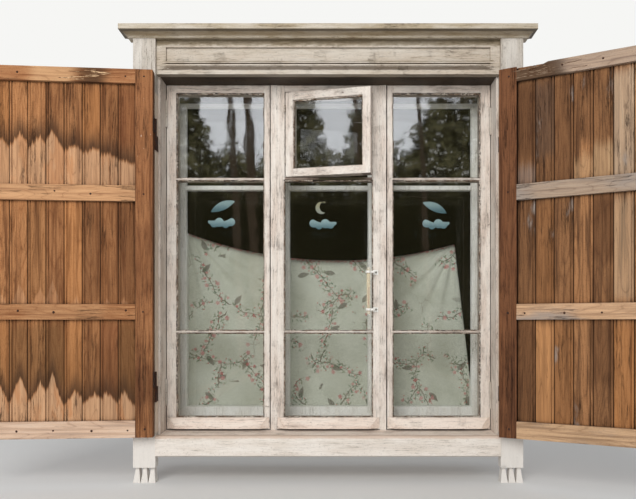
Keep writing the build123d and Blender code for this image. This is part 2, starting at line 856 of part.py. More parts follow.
def bracket_heights():
    """The heights of the two thermometer brackets."""
    low = thermo_z[0] + BRACKET_INSET
    high = thermo_z[1] - BRACKET_INSET - BRACKET_H
    return [(z, z + BRACKET_H) for z in (low, high)]


def thermometer_tube():
    """The round glass tube with a domed top and foot."""
    low = thermo_z[0] + THERMO_TUBE_R
    high = thermo_z[1] - THERMO_TUBE_R
    tube = upright(THERMO_TUBE_R, thermo_x, thermo_y, (low, high))
    return tube + Pos(thermo_x, thermo_y, low) * Sphere(THERMO_TUBE_R) + Pos(
        thermo_x, thermo_y, high
    ) * Sphere(THERMO_TUBE_R)


def foot_place():
    """Where a bracket's foot is screwed, across the stile."""
    return centre_day + BRACKET_FOOT_W / 2 + BRACKET_WALL


def thermometer_bracket(z):
    """A ring round the tube, an arm back to the stile and a screwed foot."""
    ring_r = THERMO_TUBE_R + THERMO_FIT + BRACKET_WALL
    middle = (z[0] + z[1]) / 2
    foot_x = grown((foot_place(),) * 2, BRACKET_FOOT_W / 2)
    arm_y = grown((thermo_y, thermo_y), BRACKET_T / 2)
    arm = block((thermo_x, foot_x[0] + BRACKET_T), arm_y, z)
    leg = block((foot_x[0], foot_x[0] + BRACKET_T), (arm_y[0], REVEAL_D), z)
    foot_z = grown((middle, middle), BRACKET_FOOT_H / 2)
    foot = block(foot_x, (REVEAL_D - BRACKET_T, REVEAL_D), foot_z)
    bracket = upright(ring_r, thermo_x, thermo_y, z) + arm + leg + foot
    bracket = bracket - upright(THERMO_TUBE_R + THERMO_FIT, thermo_x, thermo_y, grown(z, OVERCUT))
    return bracket - screw(foot_place() + BRACKET_T / 2, middle, THERMO_FIT)


def screw(x, z, spare):
    """A round-headed screw through a bracket's foot into the stile; spare widens it to a hole."""
    face = REVEAL_D - BRACKET_T
    shank_l = BRACKET_T + SCREW_L
    shank = Pos(x, face + shank_l / 2, z) * Rot(90, 0, 0) * Cylinder(SCREW_R + spare, shank_l + spare)
    if spare:
        return shank
    head_y = face - SCREW_HEAD_T / 2
    return shank + Pos(x, head_y, z) * Rot(90, 0, 0) * Cylinder(SCREW_HEAD_R, SCREW_HEAD_T)


# Cloth and nails

cloth_tab = (CLOTH_RIGHT + CLOTH_TAB_L, CLOTH_RIGHT_TOP + CLOTH_TAB_RISE)


def cloth():
    """A cloth hung by its top corners, sagging between them, with one slanting edge."""
    top_left = (-CLOTH_LEFT, CLOTH_LEFT_TOP)
    sag = (CLOTH_SAG_AT, CLOTH_SAG_TOP)
    top_right = (CLOTH_RIGHT, CLOTH_RIGHT_TOP)
    tab_top = (cloth_tab[0], cloth_tab[1] + CLOTH_TAB_W / 2)
    tab_foot = (cloth_tab[0], cloth_tab[1] - CLOTH_TAB_W / 2)
    tab_root = (CLOTH_RIGHT + CLOTH_TAB_W, CLOTH_RIGHT_TOP - CLOTH_TAB_W)
    foot_right = (CLOTH_RIGHT_FOOT, CLOTH_FOOT)
    foot_left = (-CLOTH_LEFT, CLOTH_FOOT)
    edges = [
        ThreePointArc(top_left, sag, top_right),
        Line(top_right, tab_top),
        Line(tab_top, tab_foot),
        Line(tab_foot, tab_root),
        Line(tab_root, foot_right),
        Line(foot_right, foot_left),
        Line(foot_left, top_left),
    ]
    front = inner_back + CLOTH_CLEAR
    plane = Plane(origin=(0, front + CLOTH_T, 0), x_dir=(1, 0, 0), z_dir=(0, -1, 0))
    sheet = extrude(plane * make_face(edges), CLOTH_T)
    return less(sheet, [nail(x, z, CLOTH_CLEAR) for x, z in nail_places()])


def nail_places():
    """Where the cloth is nailed to the inner window's timber."""
    edge = CLOTH_NAIL_HEAD_R * 2
    middle = (nose_in + nose_out) / 2
    return [
        (-CLOTH_LEFT + edge, CLOTH_LEFT_TOP - 2 * edge),
        (-middle, CLOTH_SAG_TOP + edge),
        (middle, CLOTH_SAG_TOP - edge),
        (cloth_tab[0] - OVERCUT, cloth_tab[1]),
    ]


def nail(x, z, spare):
    """A nail through the cloth into the timber; spare widens its shank to a hole."""
    front = inner_back + CLOTH_CLEAR + CLOTH_T
    length = CLOTH_NAIL_L
    shank = Pos(x, front - length / 2, z) * Rot(90, 0, 0) * Cylinder(CLOTH_NAIL_R + spare, length + spare)
    if spare:
        return shank
    head_y = front + CLOTH_NAIL_HEAD_T / 2
    head = Pos(x, head_y, z) * Rot(90, 0, 0) * Cylinder(CLOTH_NAIL_HEAD_R, CLOTH_NAIL_HEAD_T)
    return shank + head


# Everything, part by part

save("cornice", [cornice()])
save("frieze_board", [frieze_board()])
save("frieze_moulding", [frieze_moulding()])
save("apron_board", [apron_board()])
save("sill_board", [sill_board()])
save("frame_head", [frame_head()])
save("frame_bottom_rail", [frame_bottom()])

screws = [screw(foot_place() + BRACKET_T / 2, sum(z) / 2, 0) for z in bracket_heights()]
stiles, cross_pieces, panes = centre_light()
screw_holes = [screw(foot_place() + BRACKET_T / 2, sum(z) / 2, THERMO_FIT) for z in bracket_heights()]
save("centre_stiles", [stiles[0], less(stiles[1], screw_holes)])
save("centre_rails", [cross_pieces[0], cross_pieces[2], cross_pieces[3]])
save("centre_glazing_bar", [cross_pieces[1]])
save("centre_panes", panes)
save("centre_weatherboard", [weatherboard(grown((0, 0), centre_edge - WEATHER_INSET))])

stiles, cross_pieces, panes = vent_light()
save("vent_stiles", [ajar(piece) for piece in stiles])
save("vent_rails", [ajar(piece) for piece in cross_pieces])
save("vent_pane", [ajar(piece) for piece in panes])
fixed, moving = vent_hinges()
save("vent_hinge_pins", fixed)
save("vent_hinge_leaves", [ajar(piece) for piece in moving])
save("vent_turn_button", [ajar(vent_button())])

nail_holes = [nail(x, z, CLOTH_CLEAR) for x, z in nail_places()]
inner_panes = []
casement_pins = []
shutter_pins = []
for side in (LEFT, RIGHT):
    name = SIDE_NAMES[side]
    save(f"casing_{name}", [casing(side)])
    save(f"frame_jamb_{name}", [frame_jamb(side)])
    save(f"mullion_{name}", [less(mullion(side), nail_holes)])

    stiles, cross_pieces, panes = casement_light(side)
    if side == LEFT:
        stiles = [less(stile, [bent_nail()]) for stile in stiles]
    save(f"{name}_casement_stiles", stiles)
    save(f"{name}_casement_rails", [cross_pieces[0], cross_pieces[3]])
    save(f"{name}_casement_glazing_bars", cross_pieces[1:3])
    save(f"{name}_casement_panes", panes)
    board_x = sorted((side * (meeting_edge + WEATHER_INSET), side * (hinge_edge - WEATHER_INSET)))
    save(f"{name}_casement_weatherboard", [weatherboard(board_x)])
    fixed, moving = casement_hinges(side)
    casement_pins = casement_pins + fixed
    save(f"{name}_casement_hinge_leaves", moving)
    save(f"{name}_casement_bolt", [tower_bolt(side)])
    save(f"{name}_casement_bolt_guide", [bolt_guide(side)])

    stiles, cross_pieces, panes = inner_side_light(side)
    save(f"inner_{name}_light", [less(piece, nail_holes) for piece in stiles + cross_pieces])
    inner_panes = inner_panes + panes

    stiles, rails = shutter_frame(side)
    save(f"{name}_shutter_stiles", [opened(piece, side) for piece in stiles])
    save(f"{name}_shutter_rails", [opened(piece, side) for piece in rails])
    save(f"{name}_shutter_boards", [opened(piece, side) for piece in shutter_boards(side)])
    fixed, moving = shutter_hinges(side)
    shutter_pins = shutter_pins + fixed
    save(f"{name}_shutter_hinge_leaves", [opened(piece, side) for piece in moving])

save("casement_hinge_pins", casement_pins)
save("shutter_hinge_pins", shutter_pins)
save("left_casement_bent_nail", [bent_nail()])

stiles, cross_pieces, panes = inner_centre_light()
save("inner_centre_light", stiles + cross_pieces)
save("inner_panes", inner_panes + panes)

save("thermometer_tube", [thermometer_tube()])
save("thermometer_brackets", [thermometer_bracket(z) for z in bracket_heights()])
save("thermometer_screws", screws)
save("cloth", [cloth()])
save("cloth_nails", [nail(x, z, 0) for x, z in nail_places()])
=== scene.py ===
"""Looks for a weathered three-light timber window with its surround and board shutters."""

import math

import bmesh
import bpy
import numpy as np
from mathutils import Matrix, Vector, noise


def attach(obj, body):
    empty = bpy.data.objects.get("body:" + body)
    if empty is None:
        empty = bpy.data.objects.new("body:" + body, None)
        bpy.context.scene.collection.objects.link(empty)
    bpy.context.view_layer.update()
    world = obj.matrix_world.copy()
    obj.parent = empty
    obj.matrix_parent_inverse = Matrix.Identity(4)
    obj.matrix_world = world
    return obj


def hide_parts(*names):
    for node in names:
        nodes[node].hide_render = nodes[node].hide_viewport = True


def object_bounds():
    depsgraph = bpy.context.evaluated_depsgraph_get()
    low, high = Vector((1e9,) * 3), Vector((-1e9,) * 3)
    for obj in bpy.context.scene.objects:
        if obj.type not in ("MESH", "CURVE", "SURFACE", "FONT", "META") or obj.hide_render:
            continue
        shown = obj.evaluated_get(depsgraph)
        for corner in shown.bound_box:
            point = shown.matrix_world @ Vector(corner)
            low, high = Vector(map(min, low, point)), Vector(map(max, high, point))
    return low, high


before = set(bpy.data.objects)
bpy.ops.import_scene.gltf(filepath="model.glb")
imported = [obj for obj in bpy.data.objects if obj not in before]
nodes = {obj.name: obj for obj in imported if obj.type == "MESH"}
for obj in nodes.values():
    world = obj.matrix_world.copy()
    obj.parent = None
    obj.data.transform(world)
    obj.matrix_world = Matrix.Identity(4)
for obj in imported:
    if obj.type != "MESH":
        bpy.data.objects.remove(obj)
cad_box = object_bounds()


# Box frame: head, bottom rail, two jambs and two mullions. Planed softwood under several coats of
# warm white oil paint, which has crazed along the grain and worn off the arrises. The finish is
# mixed here for every painted board: a coat of paint over grey bare wood, with dirt and painted
# shade in the corners and on faces that look down.


def shade(red, green, blue):
    """A colour read in 0 to 255 steps, as the linear values that a shader takes."""
    steps = (red / 255, green / 255, blue / 255)
    return [s / 12.92 if s < 0.04045 else ((s + 0.055) / 1.055) ** 2.4 for s in steps] + [1.0]


class Wiring:
    """A node tree and the two calls that wire it."""

    prefix = ""

    def __init__(self, tree):
        self.tree = tree

    def add(self, kind, inputs=(), **settings):
        """A new node with its settings, and its inputs by name or number."""
        node = self.tree.nodes.new(self.prefix + kind)
        for name, value in settings.items():
            setattr(node, name, value)
        for name, value in dict(inputs).items():
            self.put(node.inputs[name], value)
        return node

    def put(self, socket, value):
        """Wires what a node gives into a socket, or sets the socket to a plain value."""
        value = getattr(value, "socket", value)
        if isinstance(value, bpy.types.NodeSocket):
            self.tree.links.new(value, socket)
        else:
            socket.default_value = value


class Value:
    """What a shader node gives. It adds and multiplies like a number, one maths node at a time."""

    def __init__(self, finish, socket):
        self.finish, self.socket = finish, socket

    def __add__(self, other):
        return self.finish.math("ADD", self, other)

    def __sub__(self, other):
        return self.finish.math("SUBTRACT", self, other)

    def __rsub__(self, other):
        return self.finish.math("SUBTRACT", other, self)

    def __mul__(self, other):
        return self.finish.math("MULTIPLY", self, other)

    def __truediv__(self, other):
        return self.finish.math("DIVIDE", self, other)

    def __abs__(self):
        return self.finish.math("ABSOLUTE", self)


class Finish(Wiring):
    """A material and the short calls that wire its nodes."""

    prefix = "ShaderNode"

    def __init__(self, name):
        self.material = bpy.data.materials.new(name)
        self.material.use_nodes = True
        super().__init__(self.material.node_tree)
        self.tree.nodes.clear()
        self.coords = self.add("TexCoord").outputs["Object"]

    def value(self, node, output=0):
        return Value(self, node.outputs[output])

    def math(self, operation, a, b=0.0):
        return self.value(self.add("Math", {0: a, 1: b}, operation=operation))

    def scaled(self, x, y, z, turn=0.0, shift=(0, 0, 0), source=None):
        """Object coordinates, or the source's, shifted, turned about Z and stretched."""
        place = source or self.coords
        for name, value in (("Location", shift), ("Rotation", (0, 0, turn)), ("Scale", (x, y, z))):
            place = self.add("Mapping", {"Vector": place, name: value}).outputs[0]
        return place

    def noise(self, vector, scale=1.0, detail=4.0, rough=0.6):
        return self.value(
            self.add("TexNoise", {"Vector": vector, "Scale": scale, "Detail": detail, "Roughness": rough})
        )

    def range(self, value, low, high, start=0.0, end=1.0):
        """Turns low to high into start to end, smoothly, and holds it beyond them."""
        given = dict(enumerate((value, low, high, start, end)))
        return self.value(self.add("MapRange", given, interpolation_type="SMOOTHSTEP"))

    def mix(self, share, a, b):
        """Colour a, turning to b by share."""
        return self.value(self.add("Mix", {0: share, 6: a, 7: b}, data_type="RGBA"), 2)

    def place(self, vector=None):
        """The three coordinates one by one."""
        parts = self.add("SeparateXYZ", {0: vector or self.coords})
        return [self.value(parts, axis) for axis in range(3)]

    def crevice(self, reach):
        """1 in the open and 0 deep in a corner."""
        return self.value(self.add("AmbientOcclusion", {"Distance": reach}, samples=4), "AO")

    def arris(self, radius):
        """0 on a flat face and up to 1 along a sharp edge."""
        soft = self.add("Bevel", {"Radius": radius}, samples=4)
        plain = self.add("NewGeometry").outputs["Normal"]
        turn = self.add("VectorMath", {0: soft.outputs[0], 1: plain}, operation="DOT_PRODUCT")
        return self.range(turn.outputs["Value"], 0.995, 0.75)

    def bumped(self, shader, height, depth):
        """Raises and lowers the surface by height, which reaches depth in metres."""
        bump = self.add("Bump", {"Distance": depth, "Height": height})
        self.put(shader.inputs["Normal"], bump.outputs[0])

    def output(self, shader):
        self.add("OutputMaterial", {0: shader.outputs[0]})

    def surface(self, colour, roughness, height=None, depth=0.001, **plain):
        """The shader itself; plain names the sockets that hold one value all over."""
        shader = self.add("BsdfPrincipled", {"Base Color": colour, "Roughness": roughness})
        if height is not None:
            self.bumped(shader, height, depth)
        for name, value in plain.items():
            shader.inputs[name.replace("_", " ")].default_value = value
        self.output(shader)

    def coat(self, *names):
        """Gives this finish to CAD nodes."""
        for name in names:
            for slot in nodes[name].material_slots:
                slot.material = self.material


REBATE = (0.0860, 0.0974)
REBATE_EDGE = 0.0002


def painted(name, upright, coats, wear=0.5, crazing=0.5, corner_dirt_and_shade=0.6, underside_dirt_and_shade=0.8, rebate=0.0, stains=()):
    """Old oil paint on softwood: crazed and streaked along the grain, worn through at the arrises.

    The coats are the fresh paint, the faded paint, the bare wood and the dirt, whose colour also
    paints shade into the corners and on faces that look down. Rebate is how far the rebate along the
    glass is darkened: paint come off and rot, with painted shade of the recess. Each stain is a span
    across, a span in height, its colour and its strength; some stains are painted light and some
    painted shade."""
    coat, faded, bare, dirt_and_shade = coats
    finish = Finish(name)

    def along(short, long):
        """Object coordinates stretched along the grain."""
        return finish.scaled(*((short, short, long) if upright else (long, short, short)))

    grain = along(70, 3)
    patches = finish.noise(finish.coords, scale=14, detail=7, rough=0.7)
    clouds = finish.noise(along(22, 4), detail=6, rough=0.7)
    fibres = finish.noise(grain, scale=4.5, detail=6, rough=0.75)
    craze = abs(finish.noise(grain, scale=3.6, detail=6, rough=0.7) - 0.5)
    crazed = finish.range(patches, 0.62 - 0.3 * crazing, 0.70 - 0.2 * crazing)
    craze = finish.range(craze, 0.021, 0.004) * crazed
    scratch = finish.range(finish.noise(grain, scale=11, detail=2), 0.67, 0.73)
    speckle = finish.range(finish.noise(finish.coords, scale=210, detail=3), 0.60, 0.70)
    chips = finish.noise(along(60, 20), scale=2.1, detail=8, rough=0.66)
    chips += finish.arris(0.004) * 0.15
    chips += (patches - 0.5) * 0.3
    worn_from = 0.74 - 0.12 * wear
    worn = finish.range(chips, worn_from, worn_from + 0.012)
    rim = finish.range(chips, worn_from - 0.012, worn_from)
    split = abs(finish.noise(grain, scale=1.2, detail=5) - 0.5)
    split = finish.range(split, 0.014, 0.005) * finish.range(clouds, 0.48, 0.58)
    colour = finish.mix(finish.range(clouds, 0.35, 0.65), coat, faded)
    dark_fibres = finish.range(fibres, 0.52, 0.64)
    for mark, share in (
        (dark_fibres, 0.3), (scratch + speckle, 0.45), (craze, 0.55), (split, 0.7), (rim, 0.5),
    ):
        colour = finish.mix(mark * share, colour, dirt_and_shade)
    colour = finish.mix(worn, colour, finish.mix(finish.range(fibres, 0.35, 0.65), bare, dirt_and_shade))
    # Dirt and painted shade in the corners: the deeper the corner, the darker.
    corner = finish.range(1.0 - finish.crevice(0.012), 0.4, 0.95)
    colour = finish.mix(corner * corner_dirt_and_shade, colour, dirt_and_shade)
    # Dirt and painted shade on faces that look down: the more a face points to the ground, the darker.
    facing = finish.place(finish.add("NewGeometry").outputs["Normal"])[2]
    colour = finish.mix(finish.range(facing, -0.5, -0.9, 0.0, underside_dirt_and_shade), colour, dirt_and_shade)
    x, y, z = finish.place()
    for (left, right), (low, high), tone, strength in stains:
        soft, wander = min(0.012, (high - low) / 4), min(0.03, (high - low) * 0.4)
        across, up = x + (chips - 0.5) * 0.12, z + (chips - 0.5) * wander
        stain = finish.range(across, left, left + 0.03) * finish.range(across, right, right - 0.03)
        stain *= finish.range(up, low, low + soft) * finish.range(up, high, high - soft)
        colour = finish.mix(stain * strength, colour, tone)
    # The rebate along the glass darkened in ragged lengths: paint come off and rot, with painted shade of the
    # recess.
    if rebate:
        front, back = REBATE
        behind = finish.range(y, front - REBATE_EDGE, front + REBATE_EDGE)
        behind *= finish.range(y, back + REBATE_EDGE, back - REBATE_EDGE)
        ragged = finish.noise(finish.coords, scale=75, detail=7, rough=0.7)
        ragged = finish.range(ragged, 0.60 - 0.2 * rebate, 0.5)
        colour = finish.mix(behind * ragged * 0.85, colour, shade(40, 28, 18))
    height = fibres * 0.35 - worn * 0.8 - craze * 0.6
    finish.surface(colour, finish.range(worn, 0.0, 1.0, 0.55, 0.9), height, depth=0.0012)
    return finish


GREY_WOOD = shade(150, 130, 112)
OLD_DIRT_AND_SHADE = shade(66, 50, 36)
WARM_PAINT = (shade(231, 222, 211), shade(214, 198, 184), GREY_WOOD, OLD_DIRT_AND_SHADE)
HEAD_PAINT_AND_SHADE = (shade(120, 90, 46), shade(84, 60, 26), shade(80, 58, 36), shade(36, 24, 12))

frame_upright = painted("frame_paint_upright", True, WARM_PAINT, wear=0.3, crazing=0.4)
frame_upright.coat("frame_jamb_left", "frame_jamb_right", "mullion_left", "mullion_right")
frame_level = painted("frame_paint_level", False, WARM_PAINT, wear=0.3, underside_dirt_and_shade=0.3)
frame_level.coat("frame_bottom_rail")
# The head is painted dark olive brown: painted shade for the soffit under the frieze.
painted("frame_paint_head", False, HEAD_PAINT_AND_SHADE, wear=0.9).coat("frame_head")


# Surround: cornice, panelled frieze with its twin beads, side casings and apron. Machined boards
# nailed to the wall round the frame, painted a cooler white than the window.

SOOT_AND_SHADE = shade(72, 60, 44)
OLIVE_SHADE_AND_DIRT = shade(98, 82, 46)
CORNICE_SHADOW_AND_DIRT = shade(58, 44, 22)
BEAD_SHADOW = shade(62, 44, 22)
CASING_PAINT = (shade(210, 203, 193), shade(188, 178, 165), GREY_WOOD, SOOT_AND_SHADE)
APRON_PAINT = (shade(236, 228, 218), shade(222, 211, 198), GREY_WOOD, shade(140, 128, 114))
BOARD_PAINT = (shade(204, 194, 180), shade(188, 173, 154), GREY_WOOD, SOOT_AND_SHADE)
CORNICE_PAINT = (shade(200, 190, 174), shade(172, 156, 130), GREY_WOOD, shade(84, 66, 40))
ALL_ACROSS = (-0.9, 0.9)
FRIEZE_ACROSS = (-0.66, 0.66)

casing_paint = painted(
    "casing_paint", True, CASING_PAINT, wear=-0.2, crazing=0.05,
    stains=[
        # Painted light: the casings' feet lightened.
        (ALL_ACROSS, (-0.2, 0.07), shade(236, 231, 224), 0.7),
        # Painted light: the casings' edges beside the shutters lightened out of their shade.
        ((-0.73, 0.73), (0.07, 1.42), shade(236, 212, 188), 0.6),
    ],
)
casing_paint.coat("casing_left", "casing_right")
apron_paint = painted(
    "apron_paint", False, APRON_PAINT, wear=-0.4, crazing=0.0,
    stains=[(ALL_ACROSS, (0.05, 0.08), shade(206, 172, 146), 0.6)],
)
apron_paint.coat("apron_board")
board_paint = painted(
    "surround_paint", False, BOARD_PAINT, wear=0.0, crazing=0.3, corner_dirt_and_shade=0.9, underside_dirt_and_shade=0.5,
    stains=[
        # Painted shadow of the cornice across the frieze's top, with olive dirt.
        (ALL_ACROSS, (1.600, 1.70), OLIVE_SHADE_AND_DIRT, 0.7), (ALL_ACROSS, (1.612, 1.70), CORNICE_SHADOW_AND_DIRT, 0.6),
        # Painted shade in the grooves under and between the frieze's twin beads.
        (FRIEZE_ACROSS, (1.5060, 1.5270), BEAD_SHADOW, 0.8),
        (FRIEZE_ACROSS, (1.5310, 1.5370), BEAD_SHADOW, 0.9),
        (FRIEZE_ACROSS, (1.5400, 1.5480), OLIVE_SHADE_AND_DIRT, 0.7),
    ],
)
board_paint.coat("frieze_board", "frieze_moulding")
cornice_paint = painted(
    "cornice_paint", False, CORNICE_PAINT, wear=0.1, crazing=0.3, corner_dirt_and_shade=0.9, underside_dirt_and_shade=0.1,
    stains=[
        # Painted shadow lines under the cornice's mouldings and in the upper cove.
        (ALL_ACROSS, (1.6430, 1.6470), shade(58, 44, 24), 0.7),
        (ALL_ACROSS, (1.634, 1.6445), shade(116, 94, 56), 0.5),
    ],
)
cornice_paint.coat("cornice")


# Sill board and the weatherboards along the bottom rails. Rain has taken most of their paint, and
# the bare softwood has gone pinkish grey.

SILL_PAINT = (shade(240, 226, 212), shade(228, 208, 192), shade(184, 148, 126), OLD_DIRT_AND_SHADE)
sill_wood = painted("worn_sill_timber", False, SILL_PAINT, wear=0.35, crazing=0.3, corner_dirt_and_shade=0.3, underside_dirt_and_shade=0.5)
sill_wood.coat(
    "sill_board", "centre_weatherboard", "left_casement_weatherboard", "right_casement_weatherboard",
)


# Fixed centre light, two casements and the small vent light. Mortised and tenoned sashes, painted
# with the frame, their paint chipped along the glass and the rebate there darkened, partly with
# painted shade.

sash_upright = painted("sash_paint_upright", True, WARM_PAINT, wear=0.35, crazing=0.4, rebate=0.8)
sash_upright.coat(
    "centre_stiles", "left_casement_stiles", "right_casement_stiles", "vent_stiles", "vent_turn_button",
)
sash_level = painted("sash_paint_level", False, WARM_PAINT, wear=0.5, underside_dirt_and_shade=0.4, rebate=0.8)
sash_level.coat(
    "centre_glazing_bar", "left_casement_rails", "left_casement_glazing_bars",
    "right_casement_rails", "right_casement_glazing_bars", "vent_rails",
)
centre_rails_paint = painted(
    "centre_rails_paint", False, WARM_PAINT, underside_dirt_and_shade=0.4, rebate=0.8,
    stains=[
        ((-0.2, 0.22), (1.085, 1.118), shade(84, 58, 36), 0.75),
        ((-0.05, 0.16), (1.09, 1.12), shade(62, 58, 26), 0.8),
    ],
)
centre_rails_paint.coat("centre_rails")


# Panes of old drawn glass, slightly wavy, bedded in putty. The inner ones are painted nearly black
# above the cloth's sagging edge and past its right one: painted darkness standing in for the unlit room
# behind.


def arc_through(a, b, c):
    """The centre and radius of the circle through three points."""
    twice = 2 * (a.x * (b.y - c.y) + b.x * (c.y - a.y) + c.x * (a.y - b.y))
    far_a, far_b, far_c = a.dot(a), b.dot(b), c.dot(c)
    centre = Vector((
        (far_a * (b.y - c.y) + far_b * (c.y - a.y) + far_c * (a.y - b.y)) / twice,
        (far_a * (c.x - b.x) + far_b * (a.x - c.x) + far_c * (b.x - a.x)) / twice,
    ))
    return centre, (centre - a).length


CLOTH_TOP_LEFT = Vector((-0.640, 0.918))
CLOTH_TOP_LOWEST = Vector((0.060, 0.792))
CLOTH_TOP_RIGHT = Vector((0.563, 0.866))
CLOTH_FOOT = 0.108
CLOTH_FOOT_RIGHT = 0.650
SAG_CENTRE, SAG_RADIUS = arc_through(CLOTH_TOP_LEFT, CLOTH_TOP_LOWEST, CLOTH_TOP_RIGHT)


def above_sag(finish, x, z):
    """How far a place is above the cloth's sagging top edge."""
    drop = x - SAG_CENTRE.x
    return z + finish.math("SQRT", SAG_RADIUS ** 2 - drop * drop) - SAG_CENTRE.y


def clear_tint(finish):
    """The faint grey of clean window glass."""
    return shade(250, 251, 250)


def painted_room_darkness(finish):
    """Clear where the cloth hangs behind, and painted nearly black above it and past its right edge, for the
    unlit room.
    """
    x, _, z = finish.place()
    slant = (CLOTH_TOP_RIGHT.x - CLOTH_FOOT_RIGHT) / (CLOTH_TOP_RIGHT.y - CLOTH_FOOT)
    beside = x - z * slant - (CLOTH_TOP_RIGHT.x - CLOTH_TOP_RIGHT.y * slant)
    above = finish.range(above_sag(finish, x, z), -0.008, -0.004)
    dark = finish.math("MAXIMUM", above, finish.range(beside, -0.010, -0.006))
    painted_darkness = finish.mix(finish.noise(finish.coords, scale=3), shade(14, 12, 6), shade(34, 31, 18))
    return finish.mix(dark, clear_tint(finish), painted_darkness)


def pane_glass(name, tint, index):
    """Thin glass that lets the daylight through to what stands behind it."""
    finish = Finish(name)
    colour = tint(finish)
    shader = finish.add(
        "BsdfPrincipled", {"Base Color": colour, "Roughness": 0.02, "IOR": index, "Transmission Weight": 1.0}
    )
    finish.bumped(shader, finish.noise(finish.scaled(5, 5, 2.5), scale=1.6, detail=2), 0.0003)
    clear = finish.add("BsdfTransparent", {"Color": colour})
    path = finish.add("LightPath")
    through = finish.math("MAXIMUM", path.outputs["Is Shadow Ray"], path.outputs["Is Diffuse Ray"])
    finish.output(finish.add("MixShader", {0: through, 1: shader.outputs[0], 2: clear.outputs[0]}))
    return finish


OUTER_INDEX = 2.1
INNER_INDEX = 1.6
outer_glass = pane_glass("outer_glass", clear_tint, OUTER_INDEX)
outer_glass.coat("centre_panes", "left_casement_panes", "right_casement_panes", "vent_pane")
pane_glass("inner_glass", painted_room_darkness, INNER_INDEX).coat("inner_panes")


# Lift-off hinges, tower bolts, their guides and the bent nail. Steel, painted over with the sashes
# and rusting through.

HINGE_PAINT = (shade(205, 196, 184), shade(178, 164, 148), shade(92, 66, 48), shade(48, 36, 28))
painted("painted_hinge", True, HINGE_PAINT, wear=0.9).coat(
    "vent_hinge_pins", "vent_hinge_leaves", "casement_hinge_pins", "left_casement_hinge_leaves",
    "right_casement_hinge_leaves", "left_casement_bolt", "right_casement_bolt", "left_casement_bolt_guide",
    "right_casement_bolt_guide", "left_casement_bent_nail",
)


# Inner window: three fixed lights in behind the outer ones, in softwood. Their paint has kept
# cleaner than the outer lights', out of the weather, and is set near full white: painted light that
# lifts the shade they stand in behind the glass.

INNER_PAINT_BRIGHTENED = (shade(255, 254, 250), shade(248, 245, 238), shade(190, 180, 164), shade(132, 124, 108))
inner_paint = painted("inner_paint", True, INNER_PAINT_BRIGHTENED, wear=-0.2, crazing=0.0, corner_dirt_and_shade=0.4, underside_dirt_and_shade=0.2)
inner_paint.coat("inner_left_light", "inner_centre_light", "inner_right_light")


# Shutters: one pair, each of eight matched boards in a tenoned frame, with four rails on the inner
# face. Bare pine, never painted, browned by the sun. Rain standing on the rails has drawn a jagged
# dark tide line across the left one's boards above each rail, and the wood below it has bleached.

BOARD_PITCH = 0.067625
BOARDS_FROM = 0.068
HINGE_ACROSS = 0.678
HINGE_FRONT = 0.046
SHUTTER_TURN = {"left": math.radians(175.5), "right": math.radians(-153.5)}
SHUTTER_SIDE = {"left": 1.0, "right": -1.0}
INNER_HALF = (0.014, 0.020)
MIDDLE_FIELD = (0.550, 0.551)
UPPER_FIELD = (1.005, 1.006)

TIDE_DARK = shade(56, 39, 28)
BLEACHED = shade(212, 170, 132)
SILVERED = shade(154, 143, 134)


